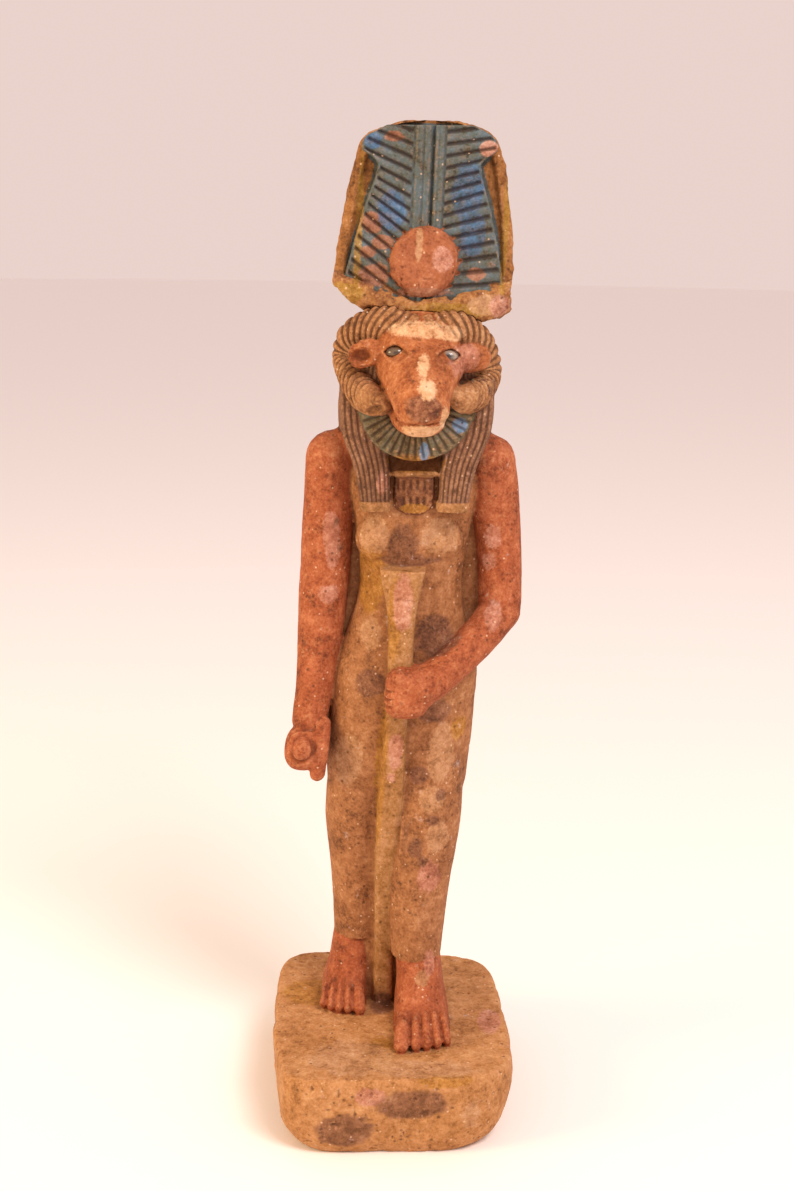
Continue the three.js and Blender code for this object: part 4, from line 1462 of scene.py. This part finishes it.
def painted_stone(name, coats, patches, ragged):
    """Coats of old paint over stone, each held to its own mask, then worn and stained patches (brown partly painted
    shadow, ochre partly painted warm side light), pale flecks partly painted as glints, and pits, hollows and grooves
    darkened, partly grime and partly painted shade.
    """
    material = bpy.data.materials.new(name)
    material.use_nodes = True
    tree = material.node_tree
    tree.nodes.clear()
    position = add(tree, "ShaderNodeTexCoord").outputs["Object"]
    mottle = use_group(tree, MOTTLE, position=position, broad=0.85, grain=0.7)
    field = stone_noise(tree, position, 1.8, 5.0, 0.7)
    blotch = stone_noise(tree, position, 4.5, 5.0, 0.65)
    masks = []
    for index in range(-(-len(coats) // 3)):
        masks += list(three_of(tree, f"coats_{index}"))[:3]
    colour = None
    for mask, stops in zip(masks, coats.values()):
        painted = ramp(tree, mottle["Mottle"], stops)
        if colour is None:
            colour = painted
        else:
            held = use_group(tree, WORN_EDGE, mask=mask, field=field, ragged=ragged, soft=0.1)
            colour = blend_colours(tree, held["Mask"], colour, painted)
    marks = []
    for index in range(-(-len(patches) // 3)):
        marks += list(three_of(tree, f"marks_{index}"))[:3]
    # Stains and wear, the brown marks partly painted shadow and the ochre ones partly painted warm side light
    for socket, (share, stops) in zip(marks, patches.values()):
        broken = sums(tree, "MULTIPLY_ADD", sums(tree, "SUBTRACT", blotch, 0.5), 1.6, socket)
        held = use_group(tree, WORN_EDGE, mask=broken, field=field, ragged=0.9, soft=0.28)
        held = sums(tree, "MULTIPLY", held["Mask"], share)
        colour = blend_colours(tree, held, colour, ramp(tree, mottle["Mottle"], stops))
    relief = three_of(tree, "relief")
    groove = use_group(
        tree, CUT, place=attribute(tree, "cut_place")["Fac"], depth=attribute(tree, "cut_depth")["Fac"], width=0.3
    )["Groove"]
    pits = use_group(tree, PITS, position=position, size=520.0, share=0.1)["Pit"]
    fine_pits = use_group(tree, PITS, position=position, size=1100.0, share=0.16)["Pit"]
    # Hollows, grooves and pits pulled towards dark brown: partly grime, partly painted shade where less light reaches
    dirt_and_shade = sums(tree, "MULTIPLY", relief[0], 0.6)
    dirt_and_shade = sums(tree, "MAXIMUM", dirt_and_shade, sums(tree, "MULTIPLY", relief[1], 0.65))
    dirt_and_shade = sums(tree, "MAXIMUM", dirt_and_shade, sums(tree, "MULTIPLY", groove, 0.8))
    dirt_and_shade = sums(tree, "MAXIMUM", dirt_and_shade, sums(tree, "MULTIPLY", pits, 0.7))
    dirt_and_shade = sums(tree, "MAXIMUM", dirt_and_shade, sums(tree, "MULTIPLY", fine_pits, 0.35))
    colour = blend_colours(tree, dirt_and_shade, colour, blend_colours(tree, 0.82, colour, DIRT_AND_SHADE))
    worn = sums(tree, "MULTIPLY", relief[2], remap(tree, field, 0.42, 0.62, 0.0, 0.5))
    colour = blend_colours(tree, worn, colour, WORN)
    # Scattered pale flecks, partly the stone's own and partly painted glints
    specks_and_glints = use_group(tree, PITS, position=position, size=760.0, share=0.05)["Pit"]
    colour = blend_colours(tree, sums(tree, "MULTIPLY", specks_and_glints, 0.6), colour, SPECK_AND_GLINT)
    height = sums(tree, "MULTIPLY", mottle["Grain"], 0.35)
    height = sums(tree, "MULTIPLY_ADD", field, 0.4, height)
    height = sums(tree, "MULTIPLY_ADD", pits, -0.7, height)
    height = sums(tree, "MULTIPLY_ADD", fine_pits, -0.3, height)
    height = sums(tree, "MULTIPLY_ADD", groove, -0.8, height)
    bump = add(tree, "ShaderNodeBump", {"Height": height, "Strength": 0.5, "Distance": 0.0004})
    inputs = {
        "Base Color": colour,
        "Roughness": remap(tree, field, 0.3, 0.7, 0.72, 0.9),
        "Normal": bump.outputs["Normal"],
        "Specular IOR Level": 0.3,
    }
    shader = add(tree, "ShaderNodeBsdfPrincipled", inputs)
    tree.links.new(shader.outputs["BSDF"], add(tree, "ShaderNodeOutputMaterial").inputs["Surface"])
    return material


# Dark brown of grime and of painted shade in hollows, grooves and pits
DIRT_AND_SHADE = tone(52, 27, 14)
WORN = tone(206, 150, 106)
# Pale flecks, partly the stone's own and partly painted glint
SPECK_AND_GLINT = tone(226, 190, 158)

# Each coat from its darkest mottle to its lightest

def shades(*tones):
    places = (0.22, 0.42, 0.6, 0.82)
    return [(place, tone(*each)) for place, each in zip(places, tones)]


FIGURE_PAINT = {
    "skin": shades((104, 48, 24), (148, 74, 40), (168, 92, 56), (190, 118, 80)),
    "dress": shades((96, 56, 30), (140, 88, 50), (160, 106, 66), (182, 132, 92)),
    "wig": shades((74, 46, 32), (112, 74, 50), (132, 92, 68), (158, 118, 92)),
    "horn": shades((92, 54, 26), (138, 90, 52), (162, 112, 70), (190, 146, 104)),
    "face": shades((112, 56, 24), (150, 80, 40), (172, 102, 58), (196, 128, 84)),
    "collar": shades((70, 54, 34), (94, 80, 54), (106, 98, 76), (112, 114, 100)),
    "panel": shades((62, 32, 20), (98, 54, 32), (122, 74, 44), (150, 104, 72)),
    "band": shades((92, 58, 30), (136, 92, 50), (156, 108, 66), (180, 136, 100)),
    "staff": shades((112, 70, 28), (150, 102, 54), (168, 120, 76), (190, 144, 104)),
    "plinth": shades((130, 82, 40), (168, 114, 64), (186, 132, 84), (204, 156, 108)),
}
# Colours of the marks: brown is partly painted shadow, ochre partly painted warm side light
FIGURE_WEAR_AND_PAINTED_LIGHT = {
    "ochre": (0.75, shades((112, 70, 16), (148, 96, 26), (172, 118, 44), (194, 146, 82))),
    "pale": (0.7, shades((136, 94, 60), (170, 122, 82), (188, 142, 104), (206, 168, 134))),
    "pink": (0.8, shades((136, 78, 56), (170, 108, 84), (190, 134, 112), (212, 168, 150))),
    "brown": (0.75, shades((66, 36, 24), (96, 58, 40), (120, 76, 56), (150, 106, 80))),
    "cream": (0.9, shades((166, 114, 74), (206, 160, 116), (222, 182, 142), (232, 202, 170))),
    "blue": (0.9, shades((76, 96, 110), (96, 126, 156), (110, 144, 180), (130, 158, 180))),
}
CROWN_PAINT = {
    "feather": shades((58, 54, 42), (84, 88, 80), (84, 98, 102), (98, 116, 124)),
    "rim": shades((88, 52, 22), (132, 84, 40), (156, 104, 56), (182, 134, 90)),
    "disk": shades((100, 50, 30), (146, 82, 50), (164, 98, 64), (184, 122, 88)),
    "foot": shades((84, 48, 26), (134, 84, 46), (162, 112, 64), (190, 144, 100)),
}
# Colours of the marks: brown is partly painted shadow, ochre partly painted warm side light
CROWN_WEAR_AND_PAINTED_LIGHT = {
    "ochre": (0.75, shades((106, 78, 14), (140, 100, 24), (160, 122, 50), (180, 146, 90))),
    "pale": (0.7, shades((140, 100, 64), (172, 128, 90), (192, 150, 112), (210, 176, 144))),
    "pink": (0.8, shades((140, 84, 64), (172, 114, 92), (196, 146, 126), (218, 182, 168))),
    "brown": (0.85, shades((96, 56, 38), (140, 88, 64), (158, 108, 82), (178, 134, 108))),
    "cream": (0.5, shades((166, 114, 74), (206, 160, 116), (222, 182, 142), (232, 202, 170))),
    "blue": (0.85, shades((48, 62, 70), (62, 88, 112), (68, 104, 142), (92, 128, 160))),
}


def eye_stone(name, iris, white, pupil):
    material = bpy.data.materials.new(name)
    material.use_nodes = True
    tree = material.node_tree
    tree.nodes.clear()
    place = attribute(tree, "from_centre")["Fac"]
    position = add(tree, "ShaderNodeTexCoord").outputs["Object"]
    grain = stone_noise(tree, position, 0.8, 4.0, 0.6)
    place = sums(tree, "MULTIPLY_ADD", sums(tree, "SUBTRACT", grain, 0.5), 0.25, place)
    colour = ramp(tree, place, [(0.2, pupil), (0.42, iris), (0.7, white), (0.95, tone(52, 34, 24))])
    shader = add(tree, "ShaderNodeBsdfPrincipled", {"Base Color": colour, "Roughness": 0.22, "Coat Weight": 0.4})
    tree.links.new(shader.outputs["BSDF"], add(tree, "ShaderNodeOutputMaterial").inputs["Surface"])
    return material


def build_figure():
    """The figure, and a tree of its finished surface before it drifts."""
    mesh, points, part = stone_piece(
        "statue", figure_forms(), FIGURE_PARTS, carve_figure, VOXEL["figure"], 196000
    )
    faces = [list(polygon.vertices) for polygon in mesh.polygons]
    tree = BVHTree.FromPolygons([Vector(point) for point in points], faces)
    dress_mesh(mesh, points, part, FIGURE_PARTS, FIGURE_COATS, cuts_of_figure, FIGURE_PATCHES)
    settle(mesh, points)
    material = painted_stone("painted stone", FIGURE_PAINT, FIGURE_WEAR_AND_PAINTED_LIGHT, 0.6)
    put_piece("statue", mesh, material, "ram_headed_figure")
    return tree


def build_crown(below):
    mesh, points, part = stone_piece(
        "two_feather_crown", crown_forms(), CROWN_PARTS, carve_crown, VOXEL["crown"], 160000
    )
    points = seat_on(points, below)
    put_points(mesh, points)
    dress_mesh(mesh, points, part, CROWN_PARTS, CROWN_COATS, cuts_of_crown, CROWN_PATCHES)
    settle(mesh, points)
    material = painted_stone("painted crown stone", CROWN_PAINT, CROWN_WEAR_AND_PAINTED_LIGHT, 0.35)
    put_piece("two_feather_crown", mesh, material, "feather_crown")


def build_eye(side):
    name = "right_eye" if side == RIGHT else "left_eye"
    middle, _, level = EYES[side]
    bm = ball(EYES[side], EYE_HALF, sides=32, levels=20)
    mesh = bpy.data.meshes.new(name)
    bm.to_mesh(mesh)
    bm.free()
    points = points_of(mesh)
    away = np.hypot((points[:, 0] - middle) / EYE_HALF[0], (points[:, 2] - level) / EYE_HALF[2])
    put_value(mesh, "from_centre", away)
    settle(mesh, points)
    if side == RIGHT:
        material = eye_stone("brown eye stone", tone(104, 86, 64), tone(92, 70, 48), tone(70, 56, 44))
    else:
        material = eye_stone("grey eye stone", tone(116, 112, 108), tone(170, 150, 132), tone(52, 46, 44))
    put_piece(name, mesh, material, f"{name}_inlay")


# Floor and light

def place_stage():
    bm = bmesh.new()
    bmesh.ops.create_circle(bm, cap_ends=True, segments=96, radius=6.0)
    mesh = bpy.data.meshes.new("floor")
    bm.to_mesh(mesh)
    bm.free()
    floor = bpy.data.objects.new("floor", mesh)
    bpy.context.scene.collection.objects.link(floor)
    material = bpy.data.materials.new("plain pale floor")
    material.use_nodes = True
    tree = material.node_tree
    shader = tree.nodes["Principled BSDF"]
    place = add(tree, "ShaderNodeTexCoord").outputs["Object"]
    reach = add(tree, "ShaderNodeVectorMath", {0: place}, operation="LENGTH").outputs["Value"]
    colour = ramp(tree, reach, [(0.3, tone(250, 246, 242)), (0.8, tone(251, 249, 248))])
    tree.links.new(colour, shader.inputs["Base Color"])
    shader.inputs["Roughness"].default_value = 0.9
    shader.inputs["Specular IOR Level"].default_value = 0.1
    mesh.materials.append(material)


def place_light(name, place, target, size, watts, colour):
    light = bpy.data.lights.new(name, "AREA")
    light.size = size
    light.energy = watts
    light.color = colour
    lamp = bpy.data.objects.new(name, light)
    lamp.location = place
    lamp.rotation_euler = (Vector(target) - Vector(place)).to_track_quat("-Z", "Y").to_euler()
    bpy.context.scene.collection.objects.link(lamp)


def light_scene():
    world = bpy.data.worlds.new("studio")
    world.use_nodes = True
    background = world.node_tree.nodes["Background"]
    background.inputs["Color"].default_value = (1.0, 0.79, 0.73, 1)
    background.inputs["Strength"].default_value = 0.82
    bpy.context.scene.world = world
    place_light("key", (0.5, -0.75, 1.15), (0, 0, 0.15), 0.5, 13, (1.0, 0.93, 0.9))
    place_light("warm side", (-0.9, -0.35, 0.45), (0, 0, 0.15), 0.4, 6, (1.0, 0.8, 0.42))
    bpy.context.scene.view_settings.view_transform = "Standard"


VOXEL = {"figure": 0.5, "crown": 0.32}

place_camera()
light_scene()
place_stage()
build_crown(build_figure())
for side in (RIGHT, LEFT):
    build_eye(side)
